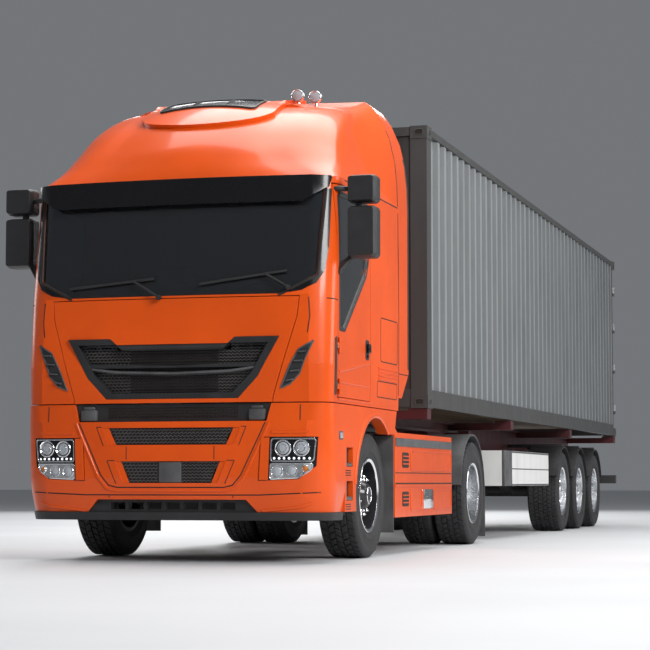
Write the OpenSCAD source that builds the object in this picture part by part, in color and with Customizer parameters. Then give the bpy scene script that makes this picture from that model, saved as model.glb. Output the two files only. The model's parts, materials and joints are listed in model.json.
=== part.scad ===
// Articulated lorry: a high-roof cab-over tractor unit and a three-axle
// semi-trailer that carries a forty-foot container body.
// +X points forward, +Y to the vehicle's left and +Z up. The origin is on the
// ground, in the middle of the length. All sizes are in millimetres.

/* [Layout] */
// Front axle to the foremost point of the bumper
front_overhang = 1465; // [1420:5:1500]
// Front axle to drive axle
wheelbase = 3800; // [3650:10:3950]
// Fifth wheel centre ahead of the drive axle
fifth_wheel_lead = 550; // [480:10:620]
// Kingpin to the middle trailer axle
trailer_wheelbase = 7500; // [7350:10:7650]
// Distance between neighbouring trailer axles
trailer_axle_pitch = 1310; // [1280:5:1360]
// Container front face ahead of the kingpin
container_lead = 1300; // [1200:10:1400]
// Height of the coupling face of the fifth wheel
coupling_z = 1150; // [1140:1:1160]

/* [Wheels] */
// Radius of the tractor tyres
tyre_r = 505; // [495:1:512]
// Width of the tractor tyres
tyre_w = 315; // [295:1:320]
// Radius of the trailer tyres
trailer_tyre_r = 500; // [490:1:506]
// Width of the trailer tyres
trailer_tyre_w = 385; // [365:1:390]
// Radius of the rim flange
rim_r = 302; // [296:1:306]
// Middle of each front wheel to the centre plane
front_wheel_y = 1035; // [1020:1:1045]
// Middle of each drive wheel pair to the centre plane
drive_wheel_y = 920; // [910:1:930]
// Middle of each trailer wheel to the centre plane
trailer_wheel_y = 1020; // [1010:1:1030]
// Gap between the two tyres of a drive wheel pair
twin_gap = 30; // [24:1:36]
// Number of wheel nuts and hand holes on each wheel
wheel_holes = 10; // [8:1:12]

/* [Cab] */
// Height of the cab's lower edge
cab_floor_z = 1215; // [1200:5:1230]
// Height of the joint between cab and roof
cab_top_z = 2950; // [2900:5:3000]
// Height of the roof above that joint
roof_h = 930; // [850:5:980]
// Cab half width at the waist
cab_half_w = 1245; // [1220:1:1260]
// Rear face of the cab behind the front axle
cab_rear = 760; // [740:5:790]
// Thickness of the cab's walls and doors
cab_wall = 55; // [45:1:65]
// Thickness of the windscreen and door glass
glass_t = 8; // [6:1:12]
// Front edge of the door ahead of the front axle
door_front = 1150; // [1130:5:1165]
// Rear edge of the door ahead of the front axle
door_rear = 190; // [170:5:220]
// Gap around the doors
door_gap = 10; // [8:1:12]
// Length of the side deflectors behind the cab
deflector_len = 370; // [320:5:400]

/* [Front] */
// Height of the bumper's lower edge
bumper_z = 385; // [370:5:400]
// Thickness of the bumper shell
bumper_wall = 45; // [35:1:55]
// Height of the headlamps' lower edge
lamp_z = 622; // [610:1:640]
// Height of the headlamps
lamp_h = 330; // [310:1:345]

/* [Tractor chassis] */
// Middle of each frame rail to the centre plane
rail_y = 425; // [410:1:440]
// Height of the frame rails
rail_h = 280; // [260:5:300]
// Top of the frame rails
rail_top_z = 930; // [920:1:950]
// Thickness of the frame rails' steel
rail_t = 9; // [7:1:12]
// Length of the side skirts
skirt_len = 2200; // [2100:10:2250]
// Height of the side skirts' lower edge
skirt_z = 315; // [300:5:335]
// Height of the side skirts
skirt_h = 715; // [690:5:740]

/* [Container] */
// Length over the corner castings
container_len = 12192; // [12100:1:12250]
// Width over the corner castings
container_w = 2438; // [2430:1:2446]
// Height over the corner castings
container_h = 2591; // [2550:1:2640]
// Height of the container's underside
container_z = 1280; // [1275:1:1295]
// Depth of the wall corrugation
wave_d = 36; // [28:1:42]
// Pitch of the wall corrugation
wave_pitch = 278; // [250:1:300]
// Thickness of the corrugated steel
sheet_t = 4; // [3:1:6]

/* [Hidden] */
$fn = 64;
// Clearance between pieces that sit against one another
seat = 0.3;
// Thickness of one slice of a section loft
slice = 1;
// Over-length of cutting tools
over = 40;
// Bearing gap of the fifth wheel and of pins
run_gap = 0.5;

orange = [0.86, 0.27, 0.07];
black = [0.09, 0.09, 0.10];
grey = [0.46, 0.48, 0.48];
dark = [0.17, 0.17, 0.16];
silver = [0.72, 0.73, 0.75];
maroon = [0.26, 0.05, 0.06];
white = [0.80, 0.80, 0.78];

// Stations along the vehicle
trailer_end = 40;
overall_len = front_overhang + wheelbase - fifth_wheel_lead - container_lead
            + container_len + trailer_end;
axle_x = overall_len / 2 - front_overhang;
kingpin_x = axle_x - wheelbase + fifth_wheel_lead;
drive_x = -wheelbase;
box_front = container_lead;
box_rear = container_lead - container_len;

// General helpers
module at_front_axle() { translate([axle_x, 0, 0]) children(); }
module at_kingpin() { translate([kingpin_x, 0, 0]) children(); }
module mirror_y() { mirror([0, 1, 0]) children(); }
module both_sides() {
    children();
    mirror_y() children();
}
// Box from its lowest to its highest corner
module span(low, high) { translate(low) cube(high - low); }
// X-Z outline swept from y0 to y1
module side_sweep(y0, y1) {
    translate([0, y1, 0]) rotate([90, 0, 0]) linear_extrude(y1 - y0) children();
}
// Y-Z outline swept from x0 to x1
module front_sweep(x0, x1) {
    translate([x0, 0, 0]) rotate([90, 0, 90]) linear_extrude(x1 - x0) children();
}
// Cylinder along Y from y0 to y1
module rod_y(r, y0, y1) { translate([0, y1, 0]) rotate([90, 0, 0]) cylinder(r = r, h = y1 - y0); }
// Left and right halves of an outline given for +Y
function mirrored(points) = concat(points, [for (i = [len(points) - 1:-1:0]) [-points[i][0], points[i][1]]]);

// Cab and roof forms
// Sections of the cab: height, front at the centre line, bow of the front,
// half width, corner radius
cab_sections = [
    [cab_floor_z, 1440, 60, cab_half_w - 9, 150],
    [1500, 1450, 65, cab_half_w - 2, 160],
    [2030, 1425, 75, cab_half_w, 170],
    [2500, 1360, 80, cab_half_w - 2, 170],
    [cab_top_z - slice, 1290, 85, cab_half_w - 7, 170],
];
// Sections of the roof: share of the roof height, front at the centre line,
// bow of the front, half width, corner radius
roof_sections = [
    [0, 1290, 85, cab_half_w - 7, 170],
    [0.22, 1215, 95, cab_half_w - 13, 200],
    [0.43, 1090, 110, cab_half_w - 33, 240],
    [0.645, 880, 125, cab_half_w - 80, 300],
    [0.83, 590, 140, cab_half_w - 155, 350],
    [0.95, 240, 140, cab_half_w - 235, 380],
    [1, -100, 120, cab_half_w - 295, 380],
];
// Sections of the bumper: height, front at the centre line, bow, half width, corner radius
bumper_top_z = cab_floor_z - 8;
bumper_sections = [
    [bumper_z, 1425, 75, cab_half_w - 25, 210],
    [bumper_z + 150, front_overhang - 8, 75, cab_half_w - 5, 210],
    [bumper_z + 260, front_overhang, 75, cab_half_w, 200],
    [1075, 1458, 68, cab_half_w, 170],
    [bumper_top_z - slice, 1442, 60, cab_half_w - 4, 150],
];

// Plan outline with a bowed front and round front corners, inset by t
module plan_section(front, rear, bow, half_w, corner, t) {
    r = max(corner - t, 40);
    hw = half_w - t;
    steps = 4;
    polygon(concat(
        [[rear, -hw]],
        [for (k = [-steps:steps]) let (y = k / steps * (hw - r)) [front - t - bow * pow(y / hw, 2), y]],
        [[rear, hw]]));
    intersection() {
        for (s = [-1, 1]) translate([front - t - bow - r, s * (hw - r)]) circle(r, $fn = 32);
        translate([rear, -hw]) square([front - rear, 2 * hw]);
    }
}
// Lower cab body, inset by t; an inset body runs past both ends
module cab_body(t) {
    last = len(cab_sections) - 1;
    hull() for (i = [0:last]) {
        s = cab_sections[i];
        dz = t <= 0 ? 0 : i == 0 ? -over : i == last ? over : 0;
        translate([0, 0, s[0] + dz]) linear_extrude(slice)
            plan_section(s[1], -cab_rear + t, s[2], s[3], s[4], t);
    }
}
module cab_skin(t0, t1) {
    difference() {
        cab_body(t0);
        cab_body(t1);
    }
}
// High roof, inset by t; an inset roof runs past its lower edge
module roof_body(t) {
    hull() for (s = roof_sections) {
        dz = t == 0 ? 0 : s[0] == 0 ? -over : -t * s[0];
        translate([0, 0, cab_top_z + s[0] * roof_h + dz]) linear_extrude(slice)
            plan_section(s[1], -cab_rear + t, s[2], s[3], s[4], t);
    }
}
// Bumper body, inset by t; an inset body runs past both ends
module bumper_body(t) {
    last = len(bumper_sections) - 1;
    hull() for (i = [0:last]) {
        s = bumper_sections[i];
        dz = t == 0 ? 0 : i == 0 ? -over : i == last ? over : 0;
        translate([0, 0, s[0] + dz]) linear_extrude(slice)
            plan_section(s[1], bumper_rear - (t == 0 ? 0 : over), s[2], s[3], s[4], t);
    }
}
bumper_rear = 950;

// Outlines on the front, as half outlines on +Y from bottom to top
windscreen_z = 2035;
windscreen_top = cab_top_z - 55;
module windscreen_outline(g) {
    polygon(mirrored([[835 - g, windscreen_z + g], [1120 - g, windscreen_z + 145 + g],
                      [1150 - g, windscreen_top - 40], [1120 - g, windscreen_top - g]]));
}
hood_gap = 6;
hood_top_z = windscreen_z - 22;
module hood_outline(g) {
    polygon(mirrored([[800 - g, cab_floor_z - over], [805 - g, cab_floor_z + 40],
                      [985 - g, hood_top_z - 150], [1000 - g, hood_top_z - g]]));
}
grille_low_z = 1245;
grille_top_z = 1712;
module grille_outline(g) {
    polygon(mirrored([[535 - g, grille_low_z + g], [690 - 1.2 * g, grille_low_z + 165 + g / 2],
                      [855 - 1.8 * g, grille_top_z - g], [505 - g, grille_top_z - g],
                      [450 - g, grille_top_z - 48 - g]]));
}

// Side outlines, as points ahead of the front axle and heights
door_sill = 45;
module door_outline(g) {
    low = cab_floor_z + door_sill - g;
    high = cab_top_z - 60 + g;
    polygon([[door_rear - g, low], [door_front + g, low], [door_front + g, high], [door_rear - g, high]]);
}
window_low_z = 1785;
module window_outline(g) {
    polygon([[door_front - 45 - g, window_low_z + g], [door_front - 190 - g / 2, window_low_z + g],
             [door_rear + 145 + g, 2260 + g], [door_rear + 75 + g, 2380],
             [door_rear + 75 + g, cab_top_z - 125 - g], [door_front - 75 - g, cab_top_z - 125 - g],
             [door_front - 45 - g, cab_top_z - 160 - g]]);
}

// Tractor: cab panels
module cab_shell() {
    color(orange) at_front_axle() {
        difference() {
            cab_skin(0, cab_wall);
            front_sweep(700, 1700) windscreen_outline(0);
            front_sweep(1050, 1700) hood_outline(-hood_gap);
            both_sides() side_sweep(1000, 1400) door_outline(door_gap);
        }
        both_sides() at_door_hinges() {
            hinge_barrel(-hinge_h / 2, hinge_h / 2, 1);
            translate([0, 0, -1.5 * hinge_h]) cylinder(r = hinge_pin_r, h = 3 * hinge_h);
        }
    }
}
// Door hinges: a barrel and pin on the cab, a knuckle of the door above and below it
door_axis = [door_front + door_gap / 2, cab_half_w + 12];
door_hinge_rows = [1335, 1650];
hinge_h = 40;
hinge_r = 10;
hinge_pin_r = 5;
module at_door_hinges() {
    for (z = door_hinge_rows) translate([door_axis[0], door_axis[1], z]) children();
}
// Barrel from z0 to z1 with a leaf that runs forward (dir 1) or back (dir -1) onto the skin
module hinge_barrel(z0, z1, dir) {
    translate([0, 0, z0]) cylinder(r = hinge_r, h = z1 - z0);
    leaf = 45;
    span([dir > 0 ? 0 : -leaf, -30, z0], [dir > 0 ? leaf : 0, 0, z1]);
}
module cab_roof() {
    color(orange) at_front_axle() difference() {
        union() {
            difference() {
                roof_body(0);
                roof_body(cab_wall);
            }
            roof_scoop();
        }
        roof_hatch_cut();
    }
}
// Raised brow around the roof hatch: a round-fronted plate that leans with the roof
hatch_x = 560;
hatch_r = 560;
hatch_tilt = 15;
hatch_z = cab_top_z + 0.80 * roof_h;
module roof_scoop() {
    intersection() {
        translate([hatch_x - 330, 0, hatch_z]) rotate([0, hatch_tilt, 0]) translate([0, 0, -200]) cylinder(r = hatch_r, h = 300);
        span([-cab_rear, -cab_half_w, cab_top_z + roof_h * 0.7], [1400, cab_half_w, cab_top_z + roof_h]);
        difference() {
            translate([55, 0, 40]) roof_body(0);
            roof_body(cab_wall / 2);
        }
    }
}
module roof_hatch_cut() {
    translate([hatch_x - 330, 0, hatch_z]) rotate([0, hatch_tilt, 0])
        span([-120, -400, -60], [320, 400, 300]);
}
floor_t = 60;
module cab_floor() {
    color(black) at_front_axle() intersection() {
        cab_body(cab_wall + seat);
        union() {
            span([-cab_rear, -cab_half_w, cab_floor_z], [1600, cab_half_w, grille_low_z - seat]);
            span([-cab_rear, -cab_half_w, cab_floor_z], [grille_back - seat, cab_half_w, cab_floor_z + floor_t]);
        }
    }
}
module cab_front() {
    color(orange) at_front_axle() difference() {
        intersection() {
            cab_skin(0, cab_wall);
            front_sweep(1050, 1700) hood_outline(0);
        }
        front_sweep(1000, 1700) grille_outline(0);
    }
}
module windscreen() {
    color([0.12, 0.14, 0.16, 0.6]) at_front_axle() intersection() {
        cab_skin(14, 14 + glass_t);
        front_sweep(700, 1700) windscreen_outline(seat);
    }
}
// Arch of side and top air deflectors behind the cab
deflector_t = 40;
function deflector_half(t) = concat(
    [[cab_half_w - 8 - t, cab_floor_z + 110], [cab_half_w - 7 - t, cab_top_z]],
    [for (i = [1:len(roof_sections) - 1]) let (s = roof_sections[i]) [s[3] - t, cab_top_z + s[0] * roof_h - t * s[0]]]);
module cab_deflectors() {
    color(orange) at_front_axle() difference() {
        front_sweep(-cab_rear - deflector_len, -cab_rear - seat) polygon(mirrored(deflector_half(0)));
        front_sweep(-cab_rear - deflector_len - over, -cab_rear + over)
            polygon(mirrored(concat([[cab_half_w - 8 - deflector_t, 0]], deflector_half(deflector_t))));
        side_sweep(-2000, 2000) polygon([[-cab_rear - deflector_len - 1, cab_floor_z],
            [-cab_rear + 1, cab_floor_z], [-cab_rear - deflector_len - 1, cab_floor_z + 330]]);
    }
}

// Tractor: front end
grille_border = 46;
grille_back = 1335;
bar_z = grille_low_z + 232;
module grille() {
    color(black) at_front_axle() {
        difference() {
            front_sweep(grille_back, 1428) grille_outline(seat);
            front_sweep(1300, 1500) grille_outline(grille_border);
        }
        front_sweep(1352, 1362) difference() {
            grille_outline(grille_border - 2);
            for (row = [0:6], col = [-6:6]) translate([(col + (row % 2) / 2) * 112, grille_low_z + 82 + row * 52])
                square([94, 36], center = true);
        }
        front_sweep(1355, 1412) polygon(mirrored([[690, bar_z + 8], [715, bar_z + 44], [0, bar_z + 24]]));
    }
}
// Sun visor: a tinted board on three stays in front of the windscreen's upper edge
visor_reach = 58;
visor_t = 14;
visor_low_z = cab_top_z - 205;
module sun_visor() {
    color(black) at_front_axle() {
        difference() {
            intersection() {
                translate([visor_reach, 0, 0]) cab_skin(0, visor_t);
                front_sweep(1000, 1700) polygon(mirrored([[1010, visor_low_z], [1190, visor_low_z + 115],
                    [1205, visor_low_z + 190], [1200, cab_top_z]]));
            }
            span([0, -1400, 2000], [1120, 1400, 3200]);
        }
        for (y = [-900, 0, 900]) intersection() {
            span([958, y - 15, cab_top_z - 45], [1558, y + 15, cab_top_z - 15]);
            difference() {
                translate([visor_reach, 0, 0]) cab_body(visor_t / 2);
                cab_body(-seat);
            }
        }
    }
}
// Openings in the bumper, as half outlines
function lamp_points(g) = [[700 + g, lamp_z + g], [1010, lamp_z + 12 + g], [1135 - g, lamp_z + 110],
                           [1150 - g, lamp_z + lamp_h - g], [715 + g, lamp_z + lamp_h - g]];
module upper_intake(g) { polygon(mirrored([[505 - g, 895 + g], [555 - g, 1025 - g]])); }
module lower_intake(g) { polygon(mirrored([[380 - g, 605 + g], [445 - g, 770 - g]])); }
slot_low_z = 1072;
module front_slot(g, top) {
    polygon(mirrored([[762 - g, slot_low_z + g], [762 - g + (top - slot_low_z) / 4, top]]));
}
module lip_intake(g) { polygon(mirrored([[720 - g, bumper_z - over], [600 - g, bumper_z + 95 - g]])); }
module bumper() {
    color(orange) at_front_axle() difference() {
        bumper_body(0);
        bumper_body(bumper_wall);
        front_sweep(1000, 1700) {
            upper_intake(0);
            lower_intake(0);
            front_slot(0, bumper_top_z + over);
            lip_intake(0);
        }
        both_sides() front_sweep(1000, 1700) polygon(lamp_points(0));
    }
    color(orange) at_front_axle() both_sides()
        span([cross_beam_x + seat, 570, rail_z + 40], [front_overhang - 50, 650, rail_z + 150]);
}
// Black inserts of the bumper: intakes, slot and the lower lip
module bumper_trim() {
    color(black) at_front_axle() {
        front_sweep(1330, 1438) difference() {
            upper_intake(seat);
            for (k = [-4:4]) translate([k * 108, 960]) square([86, 60], center = true);
        }
        front_sweep(1330, 1445) difference() {
            lower_intake(seat);
            for (k = [-3:3]) translate([k * 108, 688]) square([86, 100], center = true);
        }
        front_sweep(1300, 1398) difference() {
            front_slot(seat, bumper_top_z - seat);
            translate([0, 1140]) square([1050, 80], center = true);
        }
        front_sweep(1330, 1392) difference() {
            lip_intake(seat);
            for (k = [-3:3]) translate([k * 148, bumper_z + 46]) square([120, 52], center = true);
        }
        lip();
    }
}
// Lower lip below the bumper
lip_h = 62;
module lip() {
    intersection() {
        difference() {
            translate([0, 0, -lip_h]) bumper_body(0);
            translate([0, 0, -lip_h]) bumper_body(bumper_wall);
        }
        span([bumper_rear, -1400, bumper_z - lip_h], [1600, 1400, bumper_z - seat]);
    }
}
module headlamps() {
    color(silver) at_front_axle() both_sides() intersection() {
        difference() {
            bumper_body(4);
            bumper_body(bumper_wall + 50);
        }
        front_sweep(1000, 1700) polygon(lamp_points(seat));
    }
}
// Side panels: entry step panel and wheel arch
arch_r = 625;
arch_top_z = cab_floor_z - 8;
module side_panels() {
    color(orange) at_front_axle() both_sides() difference() {
        side_sweep(cab_half_w - 95, cab_half_w - 5) difference() {
            polygon([[bumper_rear - seat, bumper_z], [bumper_rear - seat, arch_top_z], [-cab_rear + 70, arch_top_z],
                     [-cab_rear + 150, 1010], [-300, 1010], [0, tyre_r], [600, bumper_z]]);
            translate([0, tyre_r]) circle(arch_r);
        }
        for (z = [470, 730]) span([715, cab_half_w - 60, z], [900, cab_half_w, z + 150]);
    }
    color(orange) at_front_axle() both_sides() for (x = [700, -560])
        span([x, rail_y + 200, cab_floor_z - 60], [x + 60, cab_half_w - 85, cab_floor_z - seat]);
}
// Doors and mirrors of one side, made for the left
module door_panel() {
    difference() {
        union() {
            intersection() {
                cab_skin(0, cab_wall);
                side_sweep(1000, 1400) door_outline(0);
            }
            at_door_hinges() {
                hinge_barrel(hinge_h / 2 + 1, 1.5 * hinge_h, -1);
                hinge_barrel(-1.5 * hinge_h, -hinge_h / 2 - 1, -1);
            }
        }
        side_sweep(900, 1500) window_outline(0);
        at_door_hinges() translate([0, 0, -2 * hinge_h]) cylinder(r = hinge_pin_r + 0.05, h = 4 * hinge_h);
    }
}
module door_window() {
    intersection() {
        cab_skin(18, 18 + glass_t);
        side_sweep(900, 1500) window_outline(seat);
    }
}
// Mirrors on the door's front strip: lower edge, height, foot height
mirror_rows = [[2320, 400, 2215], [2745, 215, 2856]];
mirror_x = door_front - 160;
mirror_y0 = cab_half_w + 60;
mirror_w = 230;
mirror_d = 165;
foot_x = door_front - 22;
module mirror_housing(low, h) {
    hull() for (y = [mirror_y0 + 35, mirror_y0 + mirror_w - 35], z = [low + 35, low + h - 35])
        translate([mirror_x, y, z]) rotate([0, 90, 0]) {
            cylinder(r = 35, h = mirror_d - 60, $fn = 24);
            cylinder(r = 20, h = mirror_d, $fn = 24);
        }
}
module mirror_set() {
    for (m = mirror_rows) mirror_housing(m[0], m[1]);
    span([mirror_x + 60, mirror_y0 + 60, mirror_rows[0][0] + 380], [mirror_x + 100, mirror_y0 + 100, mirror_rows[1][0] + 20]);
    difference() {
        for (m = mirror_rows) hull() {
            translate([foot_x, cab_half_w - 60, m[2]]) rotate([-90, 0, 0]) cylinder(r = 20, h = 70, $fn = 24);
            translate([mirror_x + 70, mirror_y0 + 40, max(m[0] + 30, m[2])]) sphere(r = 18, $fn = 24);
        }
        cab_body(-seat);
    }
}
module door_left() { color(orange) at_front_axle() door_panel(); }
module door_right() { color(orange) at_front_axle() mirror_y() door_panel(); }
module door_glass_left() { color([0.12, 0.14, 0.16, 0.6]) at_front_axle() door_window(); }
module door_glass_right() { color([0.12, 0.14, 0.16, 0.6]) at_front_axle() mirror_y() door_window(); }
module mirrors_left() { color(black) at_front_axle() mirror_set(); }
module mirrors_right() { color(black) at_front_axle() mirror_y() mirror_set(); }

// Cab interior
module dashboard() {
    color(dark) at_front_axle() {
        side_sweep(-1100, 1100) polygon([[1230, cab_floor_z + floor_t + seat], [1230, 1900], [1050, 1960], [900, 1880],
                                         [980, 1700], [1040, cab_floor_z + floor_t + seat]]);
        translate([760, 520, 1960]) rotate([0, -62, 0]) steering_wheel(225, 16);
    }
}
// Rim on three spokes, hub and column, around the Z axis
module steering_wheel(rim, tube) {
    rotate_extrude() translate([rim, 0]) circle(tube);
    for (a = [30:120:270]) rotate([0, 0, a]) translate([0, -18, -10]) cube([rim, 36, 14]);
    translate([0, 0, -20]) cylinder(r = 60, h = 32);
    translate([0, 0, -280]) cylinder(r = 32, h = 270);
}
module seats() {
    color(dark) at_front_axle() {
        both_sides() {
            span([60, 310, cab_floor_z + floor_t + seat], [420, 730, 1620]);
            span([20, 270, 1600], [560, 770, 1740]);
            translate([60, 290, 1700]) rotate([0, -12, 0]) cube([140, 460, 780]);
        }
        span([-690, -1150, cab_floor_z + floor_t + seat], [-60, 1150, 1660]);
    }
}

// Tractor: chassis and driveline
rail_z = rail_top_z - rail_h;
module channel(h, w, t) {
    difference() {
        square([w, h]);
        translate([-1, t]) square([w - t + 1, h - 2 * t]);
    }
}
rail_w = 80;
cross_x = [780, -1650, -2250, drive_x + 1100, drive_x + 500, drive_x - 550];
cross_beam_x = 1180;
mount_x = [900, -650];
cross_half = rail_y + rail_w / 2 - rail_t / 2;
module chassis_frame() {
    color(dark) at_front_axle() {
        difference() {
            union() {
                both_sides() front_sweep(-wheelbase - 850, 1150) translate([rail_y - rail_w / 2, rail_z]) channel(rail_h, rail_w, rail_t);
                for (x = cross_x) span([x - 40, -cross_half, rail_z + 60], [x + 40, cross_half, rail_z + 200]);
                span([cross_beam_x - 100, -900, rail_z + 20], [cross_beam_x, 900, rail_z + 180]);
                tow_jaw();
                for (x = mount_x, s = [-1, 1]) translate([x, s * rail_y, rail_top_z - rail_t])
                    cylinder(r = 45, h = cab_floor_z - seat - rail_top_z + rail_t);
            }
            translate([tow_x, 0, 0]) cylinder(r = tow_bore_r, h = 1000);
        }
    }
}
// Front towing jaw with a vertical pin bore
tow_x = cross_beam_x + 60;
tow_bore_r = 20;
tow_z = rail_z + 40;
tow_h = 120;
module tow_jaw() {
    translate([tow_x, 0, tow_z]) cylinder(r = 55, h = tow_h);
    span([cross_beam_x - 30, -55, tow_z], [tow_x, 55, tow_z + tow_h]);
}
gearbox_rear = -1500;
module engine() {
    color(grey) at_front_axle() {
        span([-620, -330, 600], [660, 330, 1120]);
        span([gearbox_rear, -240, 440], [-620, 240, 960]);
        for (x = [-520, 520]) span([x - 60, -rail_y - rail_w / 2 + rail_t + seat, 700], [x + 60, rail_y + rail_w / 2 - rail_t - seat, 780]);
    }
}
// Leaf spring of radius r, swept along X, as an arc outline
module leaf(r, half, t) {
    a = asin(half / r);
    n = 12;
    polygon(concat([for (k = [-n:n]) [r * sin(a * k / n), r * (1 - cos(a * k / n))]],
                   [for (k = [n:-1:-n]) [(r - t) * sin(a * k / n), r - (r - t) * cos(a * k / n)]]));
}
kingpin_y = 930;
kingpin_r = 24;
eye_r = 58;
eye_h = 104;
module front_axle() {
    color(black) at_front_axle() difference() {
        union() {
            span([-55, -720, tyre_r - 130], [55, 720, tyre_r - 30]);
            both_sides() {
                front_sweep(-55, 55) polygon([[640, tyre_r - 130], [700, tyre_r - 130],
                    [kingpin_y - 80, tyre_r - eye_h / 2], [kingpin_y, tyre_r - eye_h / 2], [kingpin_y, tyre_r + eye_h / 2],
                    [kingpin_y - 70, tyre_r + eye_h / 2], [700, tyre_r - 30], [640, tyre_r - 30]]);
                translate([0, kingpin_y, tyre_r - eye_h / 2]) cylinder(r = eye_r, h = eye_h);
                side_sweep(rail_y - 40, rail_y + 40) translate([0, tyre_r - 30]) leaf(3200, 820, 60);
                span([-110, rail_y - 45, tyre_r - 40], [110, rail_y + 45, tyre_r + 40]);
                for (x = [-790, 790]) span([x - 45, rail_y - 35, tyre_r + 60], [x + 45, rail_y + 35, rail_z - seat]);
            }
        }
        both_sides() translate([0, kingpin_y, 0]) cylinder(r = kingpin_r + 0.05, h = 1000);
    }
}
drive_hub_y = 800;
drive_stub_y = 1052;
module drive_axle() {
    color(black) at_front_axle() translate([drive_x, 0, 0]) {
        translate([0, 0, tyre_r]) {
            rod_y(78, -drive_hub_y, drive_hub_y);
            rod_y(stub_r, -drive_stub_y, drive_stub_y);
            sphere(r = 225);
            rotate([0, 90, 0]) cylinder(r = 60, h = gearbox_rear - drive_x - seat);
        }
        both_sides() {
            span([-560, rail_y - 45, tyre_r - 135], [560, rail_y + 45, tyre_r - 70]);
            for (x = [-450, 450]) translate([x, rail_y, tyre_r - 75]) cylinder(r = 118, h = rail_z - tyre_r + 75 - seat);
        }
    }
}
// Fifth wheel: coupling plate on two brackets
fifth_r = 470;
module fifth_wheel() {
    color(black) at_kingpin() {
        difference() {
            translate([0, 0, coupling_z - 55]) cylinder(r = fifth_r, h = 55 - run_gap);
            cylinder(r = kingpin_coupling_r + run_gap, h = 2000);
            span([-600, -kingpin_coupling_r - run_gap, 900], [0, kingpin_coupling_r + run_gap, 1300]);
            translate([0, 0, 900]) linear_extrude(400) polygon([[-180, 0], [-600, -190], [-600, 190]]);
        }
        both_sides() side_sweep(300, 345) polygon([[-130, rail_top_z + seat], [130, rail_top_z + seat],
                                                   [60, coupling_z - 54], [-60, coupling_z - 54]]);
        both_sides() span([-260, 300, rail_top_z + seat], [260, rail_y + 60, rail_top_z + 16]);
    }
}
kingpin_coupling_r = 25.4;

// Fuel tank and air tanks behind the skirts
skirt_front = -640;
skirt_t = 40;
skirt_out = cab_half_w - 10;
tank_front = skirt_front - 260;
tank_rear = skirt_front - skirt_len + 590;
tank_in = rail_y + 135;
tank_out = skirt_out - skirt_t - 75;
tank_z = [440, 960];
tank_stays = [tank_rear + 350, tank_front - 300];
stay_half = 30;
stay_z = 700;
module tanks() {
    color(silver) at_front_axle() both_sides() {
        span([tank_rear, tank_in, tank_z[0]], [tank_front, tank_out, tank_z[1]]);
        for (x = tank_stays)
            span([x - stay_half, rail_y + rail_w / 2 + seat, stay_z], [x + stay_half, tank_in, stay_z + 200]);
    }
}
module side_skirts() {
    color(orange) at_front_axle() both_sides() {
        side_sweep(skirt_out - skirt_t, skirt_out) polygon([[skirt_front, skirt_z],
            [skirt_front, skirt_z + skirt_h + 40], [skirt_front - 90, skirt_z + skirt_h],
            [skirt_front - skirt_len, skirt_z + skirt_h], [skirt_front - skirt_len, skirt_z]]);
        for (x = tank_stays)
            span([x - stay_half, tank_out + seat, stay_z], [x + stay_half, skirt_out - skirt_t, stay_z + 60]);
    }
}
// Mudguards over the drive wheels and behind the front wheels
guard_t = 12;
module guard_arc(r, y0, y1, a0, a1) {
    side_sweep(y0, y1) polygon(concat([for (k = [0:16]) let (a = a0 + (a1 - a0) * k / 16) (r + guard_t) * [cos(a), sin(a)]],
                                      [for (k = [16:-1:0]) let (a = a0 + (a1 - a0) * k / 16) r * [cos(a), sin(a)]]));
}
drive_guard_r = tyre_r + 62;
module mudguards() {
    color(dark) at_front_axle() {
        both_sides() {
            translate([drive_x, 0, tyre_r]) {
                guard_arc(drive_guard_r, 560, 1240, 8, 172);
                translate([-drive_guard_r - 2, 0, 0]) span([-10, 640, -440], [0, 1240, 82]);
            }
            for (x = [-330, 330]) translate([drive_x + x, 0, 0]) {
                span([-25, rail_y + rail_w / 2 + seat, 700], [25, 575, 760]);
                span([-25, 545, 700], [25, 575, tyre_r + sqrt(pow(drive_guard_r + 4, 2) - x * x)]);
            }
            span([-618, 850, 190], [-606, 1230, 1000]);
            span([-612, rail_y + rail_w / 2 + seat, 860], [-580, 870, 900]);
        }
    }
}

// Wheels, made around the origin with the outer side at +Y
module tyre_body(r, w) {
    groove = 9;
    h = w / 2;
    rotate([-90, 0, 0]) rotate_extrude($fn = 96) difference() {
        union() {
            translate([rim_r - 16, -h * 0.80]) square([r - rim_r - 30, w * 0.80]);
            translate([rim_r + 60, -h]) square([r - rim_r - 110, w]);
            translate([r - 50, -h + 50]) square([50, w - 100]);
            for (s = [-1, 1]) {
                translate([r - 50, s * (h - 50)]) circle(50);
                translate([rim_r + 60, s * (h - 60)]) circle(60);
            }
        }
        for (k = [-1.5, -0.5, 0.5, 1.5]) translate([r - groove, k * w * 0.2 - 5]) square([groove + 5, 10]);
        translate([0, -w]) square([rim_r - 15.7, 2 * w]);
    }
}
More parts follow.
